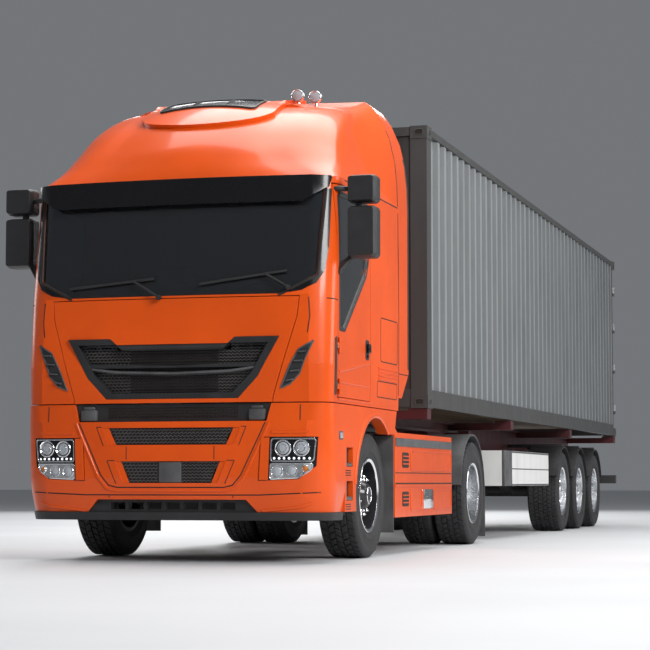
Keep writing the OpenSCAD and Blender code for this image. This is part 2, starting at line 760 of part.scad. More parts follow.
// Rim: barrel, flanges and a dished disc at offset off from the middle
module rim_body(w, off, hub_r, hub_out, bore_r, capped = true) {
    h = w * 0.40;
    difference() {
        rotate([-90, 0, 0]) rotate_extrude($fn = 96) {
            translate([rim_r - 28, -h - 14]) square([12, 2 * h + 28]);
            for (s = [-1, 1]) translate([rim_r - 28, s * (h + 8) - 6]) square([28, 12]);
            polygon([[bore_r, off - 8], [175, off - 8], [205, off - 26], [rim_r - 24, off - 60],
                     [rim_r - 24, off - 44], [212, off - 10], [182, off + 10], [bore_r, off + 10]]);
            polygon([[bore_r, off - 30], [hub_r + 30, off - 30], [hub_r + 30, off + 12], [hub_r, off + hub_out * 0.8],
                     [hub_r - 18, off + hub_out], [bore_r, off + hub_out]]);
            if (capped) translate([0, off + hub_out - 12]) square([bore_r + 1, 12]);
        }
        for (k = [0:wheel_holes - 1]) rotate([0, k * 360 / wheel_holes, 0]) translate([228, 0, 0])
            rotate([-90, 0, 0]) translate([0, 0, off - 100]) cylinder(r = 24, h = 200);
    }
}
stub_r = 42;
front_disc = 70;
twin_off = (tyre_w + twin_gap) / 2;
outer_disc = -80;
trailer_disc = 95;
module side_turn(side) { if (side > 0) children(); else mirror_y() children(); }
module at_front_wheel(side) {
    at_front_axle() side_turn(side) translate([0, front_wheel_y, tyre_r]) children();
}
module at_drive_wheel(side) {
    at_front_axle() side_turn(side) translate([drive_x, drive_wheel_y, tyre_r]) children();
}
module at_trailer_wheel(i, side) {
    at_kingpin() side_turn(side)
        translate([-trailer_wheelbase + (2 - i) * trailer_axle_pitch, trailer_wheel_y, trailer_tyre_r]) children();
}
module front_tyre(side) { color(black) at_front_wheel(side) tyre_body(tyre_r, tyre_w); }
module front_rim(side) { color(silver) at_front_wheel(side) rim_body(tyre_w, front_disc, 95, 75, stub_r + 0.05); }
module drive_tyres(side) {
    color(black) at_drive_wheel(side) for (s = [-1, 1]) translate([0, s * twin_off, 0]) tyre_body(tyre_r, tyre_w);
}
// Inner and outer rim of a pair, joined by the hub between them
drum_half = twin_off + outer_disc - 20;
module drive_rims(side) {
    color(silver) at_drive_wheel(side) {
        translate([0, twin_off, 0]) rim_body(tyre_w, outer_disc, 95, 90, stub_r + 0.05);
        translate([0, -twin_off, 0]) mirror_y() rim_body(tyre_w, outer_disc, 95, 20, stub_r + 0.05, false);
        rotate([-90, 0, 0]) rotate_extrude($fn = 96) translate([stub_r + 0.05, -drum_half]) square([75, 2 * drum_half]);
    }
}
module trailer_tyre(i, side) { color(black) at_trailer_wheel(i, side) tyre_body(trailer_tyre_r, trailer_tyre_w); }
module trailer_rim(i, side) {
    color(silver) at_trailer_wheel(i, side) rim_body(trailer_tyre_w, trailer_disc, 100, 62, stub_r + 0.05);
}

// Steering knuckles with kingpin, yoke and stub axle
module knuckle(side) {
    arm_h = 36;
    color(dark) at_front_axle() side_turn(side) translate([0, kingpin_y, tyre_r]) {
        translate([0, 0, -eye_h / 2 - arm_h - run_gap]) cylinder(r = kingpin_r, h = eye_h + 2 * arm_h + 2 * run_gap);
        for (s = [0, 1]) mirror([0, 0, s]) {
            translate([0, 0, eye_h / 2 + run_gap]) cylinder(r = 50, h = arm_h);
            span([-45, 0, eye_h / 2 + run_gap], [45, eye_r + 50, eye_h / 2 + run_gap + arm_h]);
        }
        span([-45, eye_r + 12, -eye_h / 2 - arm_h], [45, eye_r + 50, eye_h / 2 + arm_h]);
        rod_y(stub_r, eye_r + 30, front_wheel_y - kingpin_y + front_disc + 40);
    }
}

// Trailer
main_top = container_z - 22;
neck_end = -2050;
neck_drop = 450;
deep_z = 880;
beam_y = 500;
beam_t = 14;
flange_w = 150;
beam_front = box_front - 20;
leg_x = -2650;
leg_y = 700;
leg_half = 60;
last_axle_x = -trailer_wheelbase - trailer_axle_pitch;
// The lower flange rises behind the last axle to a level end
taper_x = last_axle_x - 590;
rear_z = deep_z + 60;
rear_level = 400;
frame_rear = min(box_rear + 20, taper_x - rear_level - 300);
bolster_ends = [box_front - 90, box_rear + 95];
bolster_gap = (bolster_ends[0] - bolster_ends[1]) / 3;
tie_x = concat([neck_end + 550, leg_x - 950, leg_x - 1850],
               [for (k = [1:-1:-1]) -trailer_wheelbase + k * trailer_axle_pitch], [taper_x - 500]);
// Lower edge of a main beam from front to rear, raised by up
function beam_low(up) = [[beam_front, coupling_z + up], [neck_end, coupling_z + up],
    [neck_end - neck_drop, deep_z + up], [taper_x, deep_z + up], [frame_rear + rear_level, rear_z + up],
    [frame_rear, rear_z + up]];
function reversed(points) = [for (i = [len(points) - 1:-1:0]) points[i]];
// The gooseneck and the main beams are two sections, spliced where the neck ends
module trailer_frame() {
    color(maroon) at_kingpin() {
        difference() {
            union() {
                both_sides() main_beam();
                span([-520, -beam_y, coupling_z], [620, beam_y, coupling_z + beam_t]);
                for (x = tie_x) let (low = main_top - (x > neck_end ? 90 : 160))
                    span([x - 40, -beam_y, low], [x + 40, beam_y, main_top - 20]);
                for (k = [0:3]) translate([bolster_ends[0] - k * bolster_gap, 0, 0]) bolster();
                translate([0, 0, coupling_z - 84]) cylinder(r = kingpin_coupling_r, h = 90);
            }
            span([neck_end, -container_w, coupling_z - over], [neck_end + seat, container_w, main_top + over]);
        }
        landing_legs();
    }
}
module main_beam() {
    side_sweep(beam_y - beam_t / 2, beam_y + beam_t / 2)
        polygon(concat(beam_low(beam_t / 2), [[frame_rear, main_top], [beam_front, main_top]]));
    side_sweep(beam_y - flange_w / 2, beam_y + flange_w / 2)
        polygon(concat(beam_low(0), reversed(beam_low(beam_t))));
    span([frame_rear, beam_y - flange_w / 2, main_top - beam_t], [beam_front, beam_y + flange_w / 2, main_top]);
}
// Cross bearer with a raised seat for the container at each end
module bolster() {
    half = container_w / 2 - 12;
    span([-75, -half, main_top - 78], [75, half, main_top]);
    both_sides() span([-75, half - 178, main_top - 1], [75, half, container_z - seat]);
}
// Landing legs, bolted to the webs of the main beams and joined by a cross shaft
module landing_legs() {
    both_sides() translate([leg_x, 0, 0]) {
        span([-leg_half, leg_y - leg_half, 520], [leg_half, leg_y + leg_half, 1170]);
        span([-45, leg_y - 45, 400], [45, leg_y + 45, 530]);
        span([-120, leg_y - 100, 380], [120, leg_y + 100, 402]);
        span([-90, beam_y + beam_t / 2 + seat, deep_z + beam_t + 6], [90, leg_y - leg_half + 5, coupling_z]);
    }
    translate([leg_x, 0, 620]) rod_y(22, -leg_y + 50, leg_y - 50);
}
module trailer_axles() {
    color(black) at_kingpin() for (i = [0:2]) translate([-trailer_wheelbase + (1 - i) * trailer_axle_pitch, 0, 0]) {
        translate([0, 0, trailer_tyre_r]) rod_y(70, -trailer_wheel_y + 90, trailer_wheel_y - 90);
        both_sides() {
            translate([0, 0, trailer_tyre_r]) rod_y(stub_r, trailer_wheel_y - 95, trailer_wheel_y + trailer_disc + 40);
            side_sweep(beam_y - 50, beam_y + 50) polygon([[520, 640], [520, 720], [420, 720], [60, trailer_tyre_r + 60], [-420, trailer_tyre_r + 10],
                [-420, trailer_tyre_r - 40], [60, trailer_tyre_r - 60]]);
            span([430, beam_y - 60, 600], [530, beam_y + 60, deep_z - seat]);
            translate([-350, beam_y, trailer_tyre_r]) cylinder(r = 125, h = deep_z - trailer_tyre_r - seat);
        }
    }
}
trailer_guard_r = trailer_tyre_r + 45;
module trailer_mudguards() {
    color(black) at_kingpin() both_sides() for (i = [0:2]) translate([-trailer_wheelbase + (1 - i) * trailer_axle_pitch, 0, 0]) {
        translate([0, 0, trailer_tyre_r]) guard_arc(trailer_guard_r, 815, 1225, 20, 160);
        translate([0, 0, trailer_tyre_r + trailer_guard_r + 20]) rod_y(20, beam_y + beam_t / 2 + seat, 1200);
    }
}
// Lockers between the landing legs and the wheels
toolbox_front = leg_x + 350;
toolbox_rear = -trailer_wheelbase + trailer_axle_pitch + trailer_guard_r + 595;
toolbox_in = leg_y + 80;
toolbox_z = [570, 950];
module toolboxes() {
    color(white) at_kingpin() both_sides() {
        span([toolbox_rear, toolbox_in, toolbox_z[0]], [toolbox_front, container_w / 2 - 4, toolbox_z[1]]);
        for (x = [toolbox_front - 600, toolbox_rear + 650]) {
            span([x - 30, beam_y + beam_t / 2 + seat, deep_z + 20], [x + 30, beam_y + 90, toolbox_z[1] + 10]);
            span([x - 30, beam_y + 15, toolbox_z[1] - 10], [x + 30, toolbox_in + 70, toolbox_z[1] + 10]);
        }
    }
}
// Underrun bar on two posts below the main beams' ends
bar_half = container_w / 2 - 9;
underrun_z = [590, 710];
bar_back = trailer_end + 20;
module rear_bumper() {
    color(dark) at_kingpin() translate([frame_rear, 0, 0]) {
        span([-bar_back, -bar_half, underrun_z[0]], [40, bar_half, underrun_z[1]]);
        both_sides() {
            span([-40, beam_y - 45, underrun_z[1] - 10], [30, beam_y + 45, rear_z - seat]);
            side_sweep(beam_y - 45, beam_y + 45)
                polygon([[20, underrun_z[1] - 10], [20, rear_z - 60], [280, rear_z - 20], [280, rear_z - 50]]);
        }
    }
}

// Container
cast_l = 178;
cast_w = 162;
cast_h = 118;
cast_in = container_w / 2 - cast_w;
rail_out = container_w / 2 - 14;
top_rail = 70;
bottom_rail = 160;
top_rail_w = 60;
bottom_rail_w = 50;
rail_rise = 12;
rail_low = container_z + rail_rise;
sill_h = cast_h - rail_rise;
container_top = container_z + container_h;
lift_hole_r = 31.75;
lift_hole_len = 124;
lift_depth = 90;
lift_inset_x = 103.5;
lift_inset_y = 89.5;
rear_post_x = 45;
rear_post_out = container_w / 2 - 29;
rear_post_in = container_w / 2 - 79;
header_h = 120;
// Corner castings, with posts, rails, headers and sills fitted between them
module container_frame() {
    post_z = [container_z + cast_h + seat, container_top - cast_h - seat];
    rail_x = [box_rear + cast_l + seat, box_front - cast_l - seat];
    cross_half = cast_in - seat;
    color(dark) at_kingpin() {
        corner_castings();
        both_sides() {
            span([box_front - cast_l, cast_in, post_z[0]], [box_front - 6, container_w / 2 - 6, post_z[1]]);
            span([box_rear + rear_post_x, rear_post_in, post_z[0]], [box_rear + cast_l, rear_post_out, post_z[1]]);
            span([rail_x[0], rail_out - top_rail_w, container_top - top_rail], [rail_x[1], rail_out, container_top - 8]);
            span([rail_x[0], rail_out - bottom_rail_w, rail_low], [rail_x[1], rail_out, rail_low + bottom_rail]);
        }
        hinge_lugs();
        span([box_front - cast_l, -cross_half, container_top - 90], [box_front - 8, cross_half, container_top - 8]);
        span([box_front - 110, -cross_half, rail_low], [box_front - 8, cross_half, rail_low + bottom_rail]);
        span([box_rear + 75, -cross_half, container_top - header_h], [box_rear + cast_l, cross_half, container_top - 8]);
        span([box_rear + 75, -cross_half, rail_low], [box_rear + cast_l, cross_half, rail_low + sill_h]);
    }
}
module corner_castings() {
    difference() {
        for (x = [box_front - cast_l, box_rear], z = [container_z, container_top - cast_h]) both_sides()
            span([x, cast_in, z], [x + cast_l, container_w / 2, z + cast_h]);
        for (x = [box_front - lift_inset_x, box_rear + lift_inset_x], s = [-1, 1])
            translate([x, s * (container_w / 2 - lift_inset_y), container_top - lift_depth]) lift_hole();
    }
}
// Elongated aperture of a corner casting
module lift_hole() {
    linear_extrude(lift_depth + over) {
        for (s = [-1, 1]) translate([s * (lift_hole_len / 2 - lift_hole_r), 0]) circle(lift_hole_r);
        square([lift_hole_len - 2 * lift_hole_r, 2 * lift_hole_r], center = true);
    }
}
// Corrugated sheet outline along X from 0 to len, outer face at 0
function wave_points(length, pitch, d) = [for (k = [0:floor(length / pitch) - 1]) each
    [[k * pitch, 0], [k * pitch + pitch * 0.26, 0], [k * pitch + pitch * 0.50, -d], [k * pitch + pitch * 0.76, -d]]];
module wave_outline(length, pitch, d) {
    top = concat(wave_points(length, pitch, d), [[length, 0]]);
    polygon(concat(top, [for (i = [len(top) - 1:-1:0]) top[i] - [0, sheet_t]]));
}
wall_low = rail_low + bottom_rail + seat;
wall_high = container_top - top_rail - seat;
module container_panels() {
    inner_len = container_len - 2 * cast_l - 2 * seat;
    inner_w = 2 * (cast_in - seat);
    color(grey) at_kingpin() {
        both_sides() translate([box_rear + cast_l + seat, rail_out - 10, wall_low]) linear_extrude(wall_high - wall_low)
            wave_outline(inner_len, wave_pitch, wave_d);
        translate([box_front - 20, -inner_w / 2, wall_low]) rotate([0, 0, 90])
            linear_extrude(container_top - 90 - seat - wall_low) mirror([0, 1])
            wave_outline(inner_w, wave_pitch, wave_d);
        translate([box_rear + cast_l + seat, 0, container_top - 12])
            side_sweep(-rail_out + top_rail_w + seat, rail_out - top_rail_w - seat)
            wave_outline(inner_len, wave_pitch, roof_wave_d);
    }
}
roof_wave_d = 20;
floor_low = container_z + 112;
plank_t = 28;
module container_floor() {
    half = rail_out - bottom_rail_w - seat;
    color([0.36, 0.25, 0.16]) at_kingpin()
        span([box_rear + cast_l + seat, -half, floor_low], [box_front - cast_l - seat, half, floor_low + plank_t]);
}
// Container doors, made for the left leaf; positions run from the hinge pin
hinge_x = box_rear + 25;
hinge_y = container_w / 2 - 13;
leaf_gap = 6;
leaf_face = 45;
leaf_t = 45;
leaf_low = rail_low + sill_h + leaf_gap;
leaf_high = container_top - header_h - leaf_gap;
lock_rods = [-250, -820];
lock_rod_r = 17;
handle_len = 330;
hinge_rows = [250, 850, 1450, 2000];
module container_door() {
    edge = rear_post_in - hinge_y - leaf_gap;
    translate([hinge_x, hinge_y, 0]) {
        difference() {
            span([leaf_face, -hinge_y + leaf_gap, leaf_low], [leaf_face + leaf_t, edge, leaf_high]);
            for (k = [0:4]) let (z0 = leaf_low + 120 + k * 430)
                span([leaf_face - 1, -hinge_y + 120, z0], [leaf_face + 22, edge - 110, z0 + 300]);
        }
        for (y = lock_rods) {
            translate([25, y, leaf_low - 60]) cylinder(r = lock_rod_r, h = leaf_high - leaf_low + 120);
            for (z = [leaf_low + 60, leaf_low + 750, leaf_low + 1450, leaf_high - 60])
                span([14, y - 45, z - 30], [leaf_face + 1, y + 45, z + 30]);
            span([10, y - handle_len, leaf_low + 560], [22, y + 20, leaf_low + 600]);
        }
        for (z = hinge_rows) translate([0, 0, leaf_low + z]) {
            difference() {
                union() {
                    span([-4, edge - 110, 0], [14, 0, 90]);
                    span([-4, edge - 110, 0], [leaf_face + 1, edge - 8, 90]);
                    cylinder(r = 13, h = 90);
                }
                translate([0, 0, -1]) cylinder(r = 9.5, h = 92);
            }
        }
    }
}
// Hinge pins on the rear posts, one under each blade
module hinge_lugs() {
    both_sides() translate([hinge_x, hinge_y, 0]) for (z = hinge_rows) translate([0, 0, leaf_low + z]) {
        translate([0, 0, -46]) cylinder(r = 9.4, h = 140);
        translate([0, 0, -46]) cylinder(r = 13, h = 45);
        span([0, -40, -46], [rear_post_x - 25 + 1, -16 + 1, -1]);
        span([-10, -40, -46], [10, 0, -1]);
    }
}
module container_door_left() { color(grey) at_kingpin() container_door(); }
module container_door_right() { color(grey) at_kingpin() mirror_y() container_door(); }

// Pieces
SIDES = [["left", 1], ["right", -1]];

chassis_frame();
front_axle();
drive_axle();
engine();
fifth_wheel();
tanks();
mudguards();
side_skirts();
cab_shell();
cab_roof();
cab_floor();
cab_front();
cab_deflectors();
windscreen();
grille();
sun_visor();
bumper();
bumper_trim();
headlamps();
side_panels();
dashboard();
seats();
door_left();
door_right();
door_glass_left();
door_glass_right();
mirrors_left();
mirrors_right();
trailer_frame();
trailer_axles();
trailer_mudguards();
toolboxes();
rear_bumper();
container_frame();
container_panels();
container_floor();
container_door_left();
container_door_right();
for (s = SIDES) {
    knuckle(s[1]);
    front_tyre(s[1]);
    front_rim(s[1]);
    drive_tyres(s[1]);
    drive_rims(s[1]);
    for (i = [1:3]) {
        trailer_tyre(i, s[1]);
        trailer_rim(i, s[1]);
    }
}
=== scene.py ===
"""Looks of an articulated lorry: a high-roof tractor unit with a container semi-trailer.

Lengths are in metres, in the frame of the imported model: +X forward, +Y to the vehicle's left, +Z up.
"""
import json
import math

import bmesh
import bpy
from mathutils import Matrix, Vector
from mathutils.bvhtree import BVHTree
from mathutils.geometry import delaunay_2d_cdt


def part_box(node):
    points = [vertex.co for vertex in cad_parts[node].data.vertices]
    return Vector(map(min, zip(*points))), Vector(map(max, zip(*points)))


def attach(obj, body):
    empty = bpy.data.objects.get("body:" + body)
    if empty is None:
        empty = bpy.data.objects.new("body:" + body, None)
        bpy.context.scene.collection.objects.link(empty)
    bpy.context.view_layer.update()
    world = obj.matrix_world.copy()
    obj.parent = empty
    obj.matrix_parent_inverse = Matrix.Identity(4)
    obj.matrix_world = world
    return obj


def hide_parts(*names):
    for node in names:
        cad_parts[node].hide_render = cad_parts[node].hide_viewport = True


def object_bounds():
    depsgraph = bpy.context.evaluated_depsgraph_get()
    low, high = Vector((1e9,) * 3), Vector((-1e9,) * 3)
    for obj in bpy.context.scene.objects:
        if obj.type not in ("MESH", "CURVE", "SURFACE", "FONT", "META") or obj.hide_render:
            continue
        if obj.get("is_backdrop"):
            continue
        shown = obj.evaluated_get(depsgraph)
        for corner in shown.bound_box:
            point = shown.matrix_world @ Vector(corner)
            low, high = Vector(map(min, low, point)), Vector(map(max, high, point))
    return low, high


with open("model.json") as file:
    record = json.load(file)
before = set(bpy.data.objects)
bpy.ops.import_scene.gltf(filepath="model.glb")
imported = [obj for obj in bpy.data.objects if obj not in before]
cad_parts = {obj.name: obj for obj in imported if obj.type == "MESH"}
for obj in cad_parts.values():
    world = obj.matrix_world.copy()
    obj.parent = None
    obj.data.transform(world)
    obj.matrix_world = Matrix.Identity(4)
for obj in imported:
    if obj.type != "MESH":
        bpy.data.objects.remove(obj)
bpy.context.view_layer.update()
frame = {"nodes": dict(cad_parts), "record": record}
NODES = frame["nodes"]
SIDES = (("left", 1), ("right", -1))
BODY_OF = {n: b for b, names in frame["record"]["behaviour"]["bodies"].items() for n in names}
SLOT_OF = {p["node"]: p["material_slot"] for p in frame["record"]["subparts"]}
TRACTOR, TRAILER = BODY_OF["cab_shell"], BODY_OF["trailer_frame"]


def middle(node):
    low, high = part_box(node)
    return (low + high) / 2


# Stations that the pieces are placed from
AXLE = middle("front_tyre_left").x
CONTAINER_LOW, CONTAINER_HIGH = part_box("container_frame")


# Materials
def shader(name, colour, roughness, metallic=0.0, **sockets):
    """A Principled material; sockets are given by name with underscores for spaces."""
    mat = bpy.data.materials.new(name)
    mat.use_nodes = True
    bsdf = mat.node_tree.nodes["Principled BSDF"]
    bsdf.inputs["Base Color"].default_value = (*colour, 1)
    bsdf.inputs["Roughness"].default_value = roughness
    bsdf.inputs["Metallic"].default_value = metallic
    for key, value in sockets.items():
        bsdf.inputs[key.replace("_", " ")].default_value = value
    return mat


def add_node(mat, kind, **inputs):
    """New shader node; an input is given by name, as a value or as the socket that feeds it."""
    made = mat.node_tree.nodes.new("ShaderNode" + kind)
    for key, value in inputs.items():
        plug(mat, made.inputs[key.replace("_", " ")], value)
    return made


def plug(mat, socket, value):
    if isinstance(value, bpy.types.NodeSocket):
        mat.node_tree.links.new(value, socket)
    else:
        socket.default_value = value


def feed(mat, name, output):
    """Link an output to an input of the material's Principled shader."""
    plug(mat, mat.node_tree.nodes["Principled BSDF"].inputs[name], output)


def noise(mat, scale, detail=4.0, stretch=(1, 1, 1)):
    """Noise over the object's own coordinates; stretch scales it along X, Y and Z."""
    coords = add_node(mat, "TexCoord").outputs["Object"]
    mapping = add_node(mat, "Mapping", Vector=coords, Scale=stretch).outputs["Vector"]
    return add_node(mat, "TexNoise", Vector=mapping, Scale=scale, Detail=detail).outputs["Fac"]


def tones(mat, factor, first, second, low=0.35, high=0.65):
    """Base colour that runs from the first tone to the second with factor."""
    ramp = add_node(mat, "ValToRGB", Fac=factor)
    for stop, position, colour in zip(ramp.color_ramp.elements, (low, high), (first, second)):
        stop.position = position
        stop.color = (*colour, 1)
    feed(mat, "Base Color", ramp.outputs["Color"])


def roughen(mat, factor, low, high):
    feed(mat, "Roughness", add_node(mat, "MapRange", Value=factor, To_Min=low, To_Max=high).outputs["Result"])


def grain(mat, factor, strength, distance=0.002, edge=0.0):
    """Bump from factor; edge is the radius over which corners catch the light."""
    bump = add_node(mat, "Bump", Height=factor, Strength=strength, Distance=distance)
    if edge:
        plug(mat, bump.inputs["Normal"], add_node(mat, "Bevel", Radius=edge).outputs["Normal"])
    feed(mat, "Normal", bump.outputs["Normal"])


def shade(colour, factor):
    return tuple(c * factor for c in colour)


def paint(name, colour, roughness=0.3, coat=0.3, vary=0.10, edge=0.004):
    """Sprayed paint under a clear coat, with faint cloudiness and orange peel."""
    mat = shader(name, colour, roughness, Coat_Weight=coat, Coat_Roughness=0.10, Specular_IOR_Level=0.2)
    tones(mat, noise(mat, 1.1, 3), shade(colour, 1 - vary), shade(colour, 1 + vary))
    roughen(mat, noise(mat, 9, 5), roughness - 0.05, roughness + 0.08)
    grain(mat, noise(mat, 420, 2), 0.04, 0.0006, edge)
    return mat


def moulding(name, colour, roughness=0.5, edge=0.004):
    """Grained plastic or rubber."""
    mat = shader(name, colour, roughness)
    tones(mat, noise(mat, 6, 4), shade(colour, 0.8), shade(colour, 1.3))
    roughen(mat, noise(mat, 30, 3), roughness - 0.08, roughness + 0.1)
    grain(mat, noise(mat, 900, 2), 0.18, 0.0008, edge)
    return mat


def metal(name, colour, roughness, stretch=(1, 1, 1), edge=0.003):
    """Bare metal with brushed streaks along the least stretched direction."""
    mat = shader(name, colour, roughness, metallic=1.0)
    tones(mat, noise(mat, 5, 4), shade(colour, 0.9), shade(colour, 1.05))
    roughen(mat, noise(mat, 60, 5, stretch), roughness - 0.06, roughness + 0.1)
    grain(mat, noise(mat, 300, 3, stretch), 0.05, 0.0005, edge)
    return mat


def weathered(name, colour, dirt, roughness=0.5, edge=0.004):
    """Painted steel with streaks of road dirt that run down it."""
    mat = shader(name, colour, roughness, Coat_Weight=0.15, Coat_Roughness=0.3)
    tones(mat, noise(mat, 2.2, 6, (1.5, 1.5, 0.35)), dirt, colour, 0.2, 0.55)
    roughen(mat, noise(mat, 7, 5), roughness - 0.08, roughness + 0.15)
    grain(mat, noise(mat, 160, 4), 0.08, 0.001, edge)
    return mat


def woven(name, colour):
    mat = shader(name, colour, 0.9, Sheen_Weight=0.4)
    coords = add_node(mat, "TexCoord").outputs["Object"]
    wave = add_node(mat, "TexWave", Vector=coords, Scale=160, Distortion=1.5)
    tones(mat, noise(mat, 14, 4), shade(colour, 0.7), shade(colour, 1.3))
    grain(mat, wave.outputs["Fac"], 0.35, 0.001)
    return mat


def planks(name, colour):
    mat = shader(name, colour, 0.6)
    tones(mat, noise(mat, 9, 6, (0.08, 1, 1)), shade(colour, 0.6), shade(colour, 1.25))
    grain(mat, noise(mat, 40, 5, (0.05, 1, 1)), 0.25, 0.002)
    return mat


def tinted_glass(name, colour, transmission, roughness=0.02):
    mat = shader(name, colour, roughness, Transmission_Weight=transmission, IOR=1.45, Coat_Weight=0.3)
    roughen(mat, noise(mat, 4, 3), roughness, roughness + 0.03)
    return mat


ORANGE = paint("orange_paint", (0.69, 0.080, 0.005), 0.32)
BLACK = moulding("black_plastic", (0.016, 0.016, 0.017))
GLOSS_BLACK = paint("gloss_black", (0.006, 0.006, 0.007), 0.25)
SEAM = moulding("seam_shadow", (0.012, 0.006, 0.004), 0.7, 0)
GREY_PLASTIC = moulding("grey_plastic", (0.07, 0.07, 0.072), 0.5)
GLASS = tinted_glass("dark_glass", (0.10, 0.115, 0.13), 0.9)
CLEAR = tinted_glass("lamp_glass", (0.95, 0.96, 0.97), 1.0)
AMBER = tinted_glass("amber_lens", (0.9, 0.28, 0.02), 0.6, 0.1)
RED_LENS = tinted_glass("red_lens", (0.6, 0.01, 0.01), 0.5, 0.1)
CHROME = metal("chrome", (0.86, 0.87, 0.88), 0.08)
RIM_METAL = metal("wheel_metal", (0.72, 0.73, 0.75), 0.26)
RIM_DARK = paint("wheel_dark", (0.02, 0.02, 0.022), 0.35, 0.5)
ALUMINIUM = metal("tank_metal", (0.62, 0.63, 0.64), 0.32, (1, 1, 12))
CHASSIS = weathered("chassis_black", (0.022, 0.022, 0.024), (0.05, 0.045, 0.04), 0.5)
CAST = weathered("cast_parts", (0.06, 0.06, 0.062), (0.04, 0.035, 0.03), 0.6)
RUBBER = moulding("tyre_rubber", (0.020, 0.020, 0.021), 0.75, 0.002)
MAROON = weathered("trailer_red", (0.060, 0.006, 0.008), (0.03, 0.01, 0.01), 0.45)
BOX_GREY = weathered("container_grey", (0.225, 0.240, 0.245), (0.17, 0.18, 0.18), 0.5)
# Darker grey for the slopes of the container's waves, as painted shade
BOX_SLOPE_SHADE = weathered("container_slope_shade", (0.085, 0.092, 0.095), (0.06, 0.065, 0.066), 0.55)
BOX_DARK = weathered("container_dark", (0.040, 0.040, 0.039), (0.06, 0.058, 0.055), 0.5)
WHITE = weathered("box_white", (0.72, 0.72, 0.70), (0.58, 0.57, 0.55), 0.4)
TRIM = moulding("cab_trim", (0.045, 0.045, 0.048), 0.7)
CLOTH = woven("seat_cloth", (0.035, 0.036, 0.04))
WOOD = planks("floor_wood", (0.20, 0.12, 0.06))
MIRROR = metal("mirror_glass", (0.55, 0.58, 0.62), 0.03)
LENS = tinted_glass("lamp_lens", (0.50, 0.53, 0.57), 0.30)
LED = shader("led_white", (0.95, 0.96, 1.0), 0.2, Emission_Color=(0.9, 0.95, 1.0, 1), Emission_Strength=0.6)
REFLECTOR = metal("lamp_reflector", (0.80, 0.81, 0.82), 0.16)

MATERIAL_OF_SLOT = {
    "orange_paint": ORANGE, "black_plastic": BLACK, "dark_glass": GLASS, "lamp_glass": CLEAR,
    "chassis_black": CHASSIS, "cast_parts": CAST, "tyre_rubber": RUBBER, "wheel_steel": RIM_METAL,
    "tank_metal": ALUMINIUM, "trailer_red": MAROON, "container_grey": BOX_GREY, "container_dark": BOX_DARK,
    "box_white": WHITE, "floor_wood": WOOD, "cab_trim": TRIM, "seat_cloth": CLOTH,
}
# Slots of the pieces' materials; gloss black stands in several, so its pieces name theirs
SLOT_OF_LOOK = {material: slot for slot, material in MATERIAL_OF_SLOT.items()}
SLOT_OF_LOOK |= {SEAM: "black_plastic", GREY_PLASTIC: "black_plastic", CHROME: "wheel_steel", MIRROR: "dark_glass"}
SLOT_OF_LOOK |= dict.fromkeys((LENS, LED, REFLECTOR, AMBER, RED_LENS), "lamp_glass")
for node, obj in NODES.items():
    obj.data.materials.clear()
    obj.data.materials.append(MATERIAL_OF_SLOT[SLOT_OF[node]])


# Mesh helpers
def piece(name, bm, material, smooth=None, body=TRACTOR, slot=None, replace=()):
    """Object from a bmesh that rides on a body; smooth is the angle up to which edges are soft."""
    slot = slot or SLOT_OF_LOOK[material]
    bmesh.ops.recalc_face_normals(bm, faces=bm.faces)
    mesh = bpy.data.meshes.new(name)
    bm.to_mesh(mesh)
    bm.free()
    mesh.materials.append(material)
    obj = bpy.data.objects.new(name, mesh)
    bpy.context.scene.collection.objects.link(obj)
    if smooth is not None:
        mesh.shade_smooth()
        mesh.set_sharp_from_angle(angle=math.radians(smooth))
    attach(obj, body)
    if replace:
        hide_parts(*replace)
    return obj


def add_faces(bm, verts, faces):
    made = [bm.verts.new(v) for v in verts]
    for f in faces:
        bm.faces.new([made[i] for i in f])


def block(bm, low, high, bevel=0.004):
    """Box between two corners with rounded edges."""
    low, high = Vector(low), Vector(high)
    size, centre = high - low, (high + low) / 2
    made = bmesh.ops.create_cube(bm, size=1, matrix=Matrix.Translation(centre) @ Matrix.Diagonal((*size, 1)))
    edges = list(dict.fromkeys(e for v in made["verts"] for e in v.link_edges))
    bmesh.ops.bevel(bm, geom=edges, offset=min(bevel, 0.4 * min(size)), segments=2, affect="EDGES", profile=0.5)


def lathe(bm, profile, centre, axis=(0, 1, 0), steps=64):
    """Closed ring of the profile, a list of (radius, distance along axis), turned about the axis."""
    axis = Vector(axis).normalized()
    across = axis.orthogonal().normalized()
    up = axis.cross(across)
    centre = Vector(centre)
    rings = []
    for k in range(steps):
        a = 2 * math.pi * k / steps
        out = across * math.cos(a) + up * math.sin(a)
        rings.append([bm.verts.new(centre + out * r + axis * d) for r, d in profile])
    for k in range(steps):
        one, two = rings[k], rings[(k + 1) % steps]
        for i in range(len(profile)):
            j = (i + 1) % len(profile)
            bm.faces.new((one[i], one[j], two[j], two[i]))
    bmesh.ops.remove_doubles(bm, verts=[v for r in rings for v in r], dist=1e-6)


def tube(bm, points, radius, sides=12):
    """Round bar along points, with closed ends."""
    points = [Vector(p) for p in points]
    normal = (points[1] - points[0]).orthogonal().normalized()
    rings = []
    for i, p in enumerate(points):
        tangent = (points[min(i + 1, len(points) - 1)] - points[max(i - 1, 0)]).normalized()
        normal = (normal - tangent * normal.dot(tangent)).normalized()
        other = tangent.cross(normal)
        turn = [2 * math.pi * k / sides for k in range(sides)]
        rings.append([bm.verts.new(p + (normal * math.cos(a) + other * math.sin(a)) * radius) for a in turn])
    for one, two in zip(rings, rings[1:]):
        for k in range(sides):
            bm.faces.new((one[k], one[(k + 1) % sides], two[(k + 1) % sides], two[k]))
    bm.faces.new(list(reversed(rings[0])))
    bm.faces.new(rings[-1])


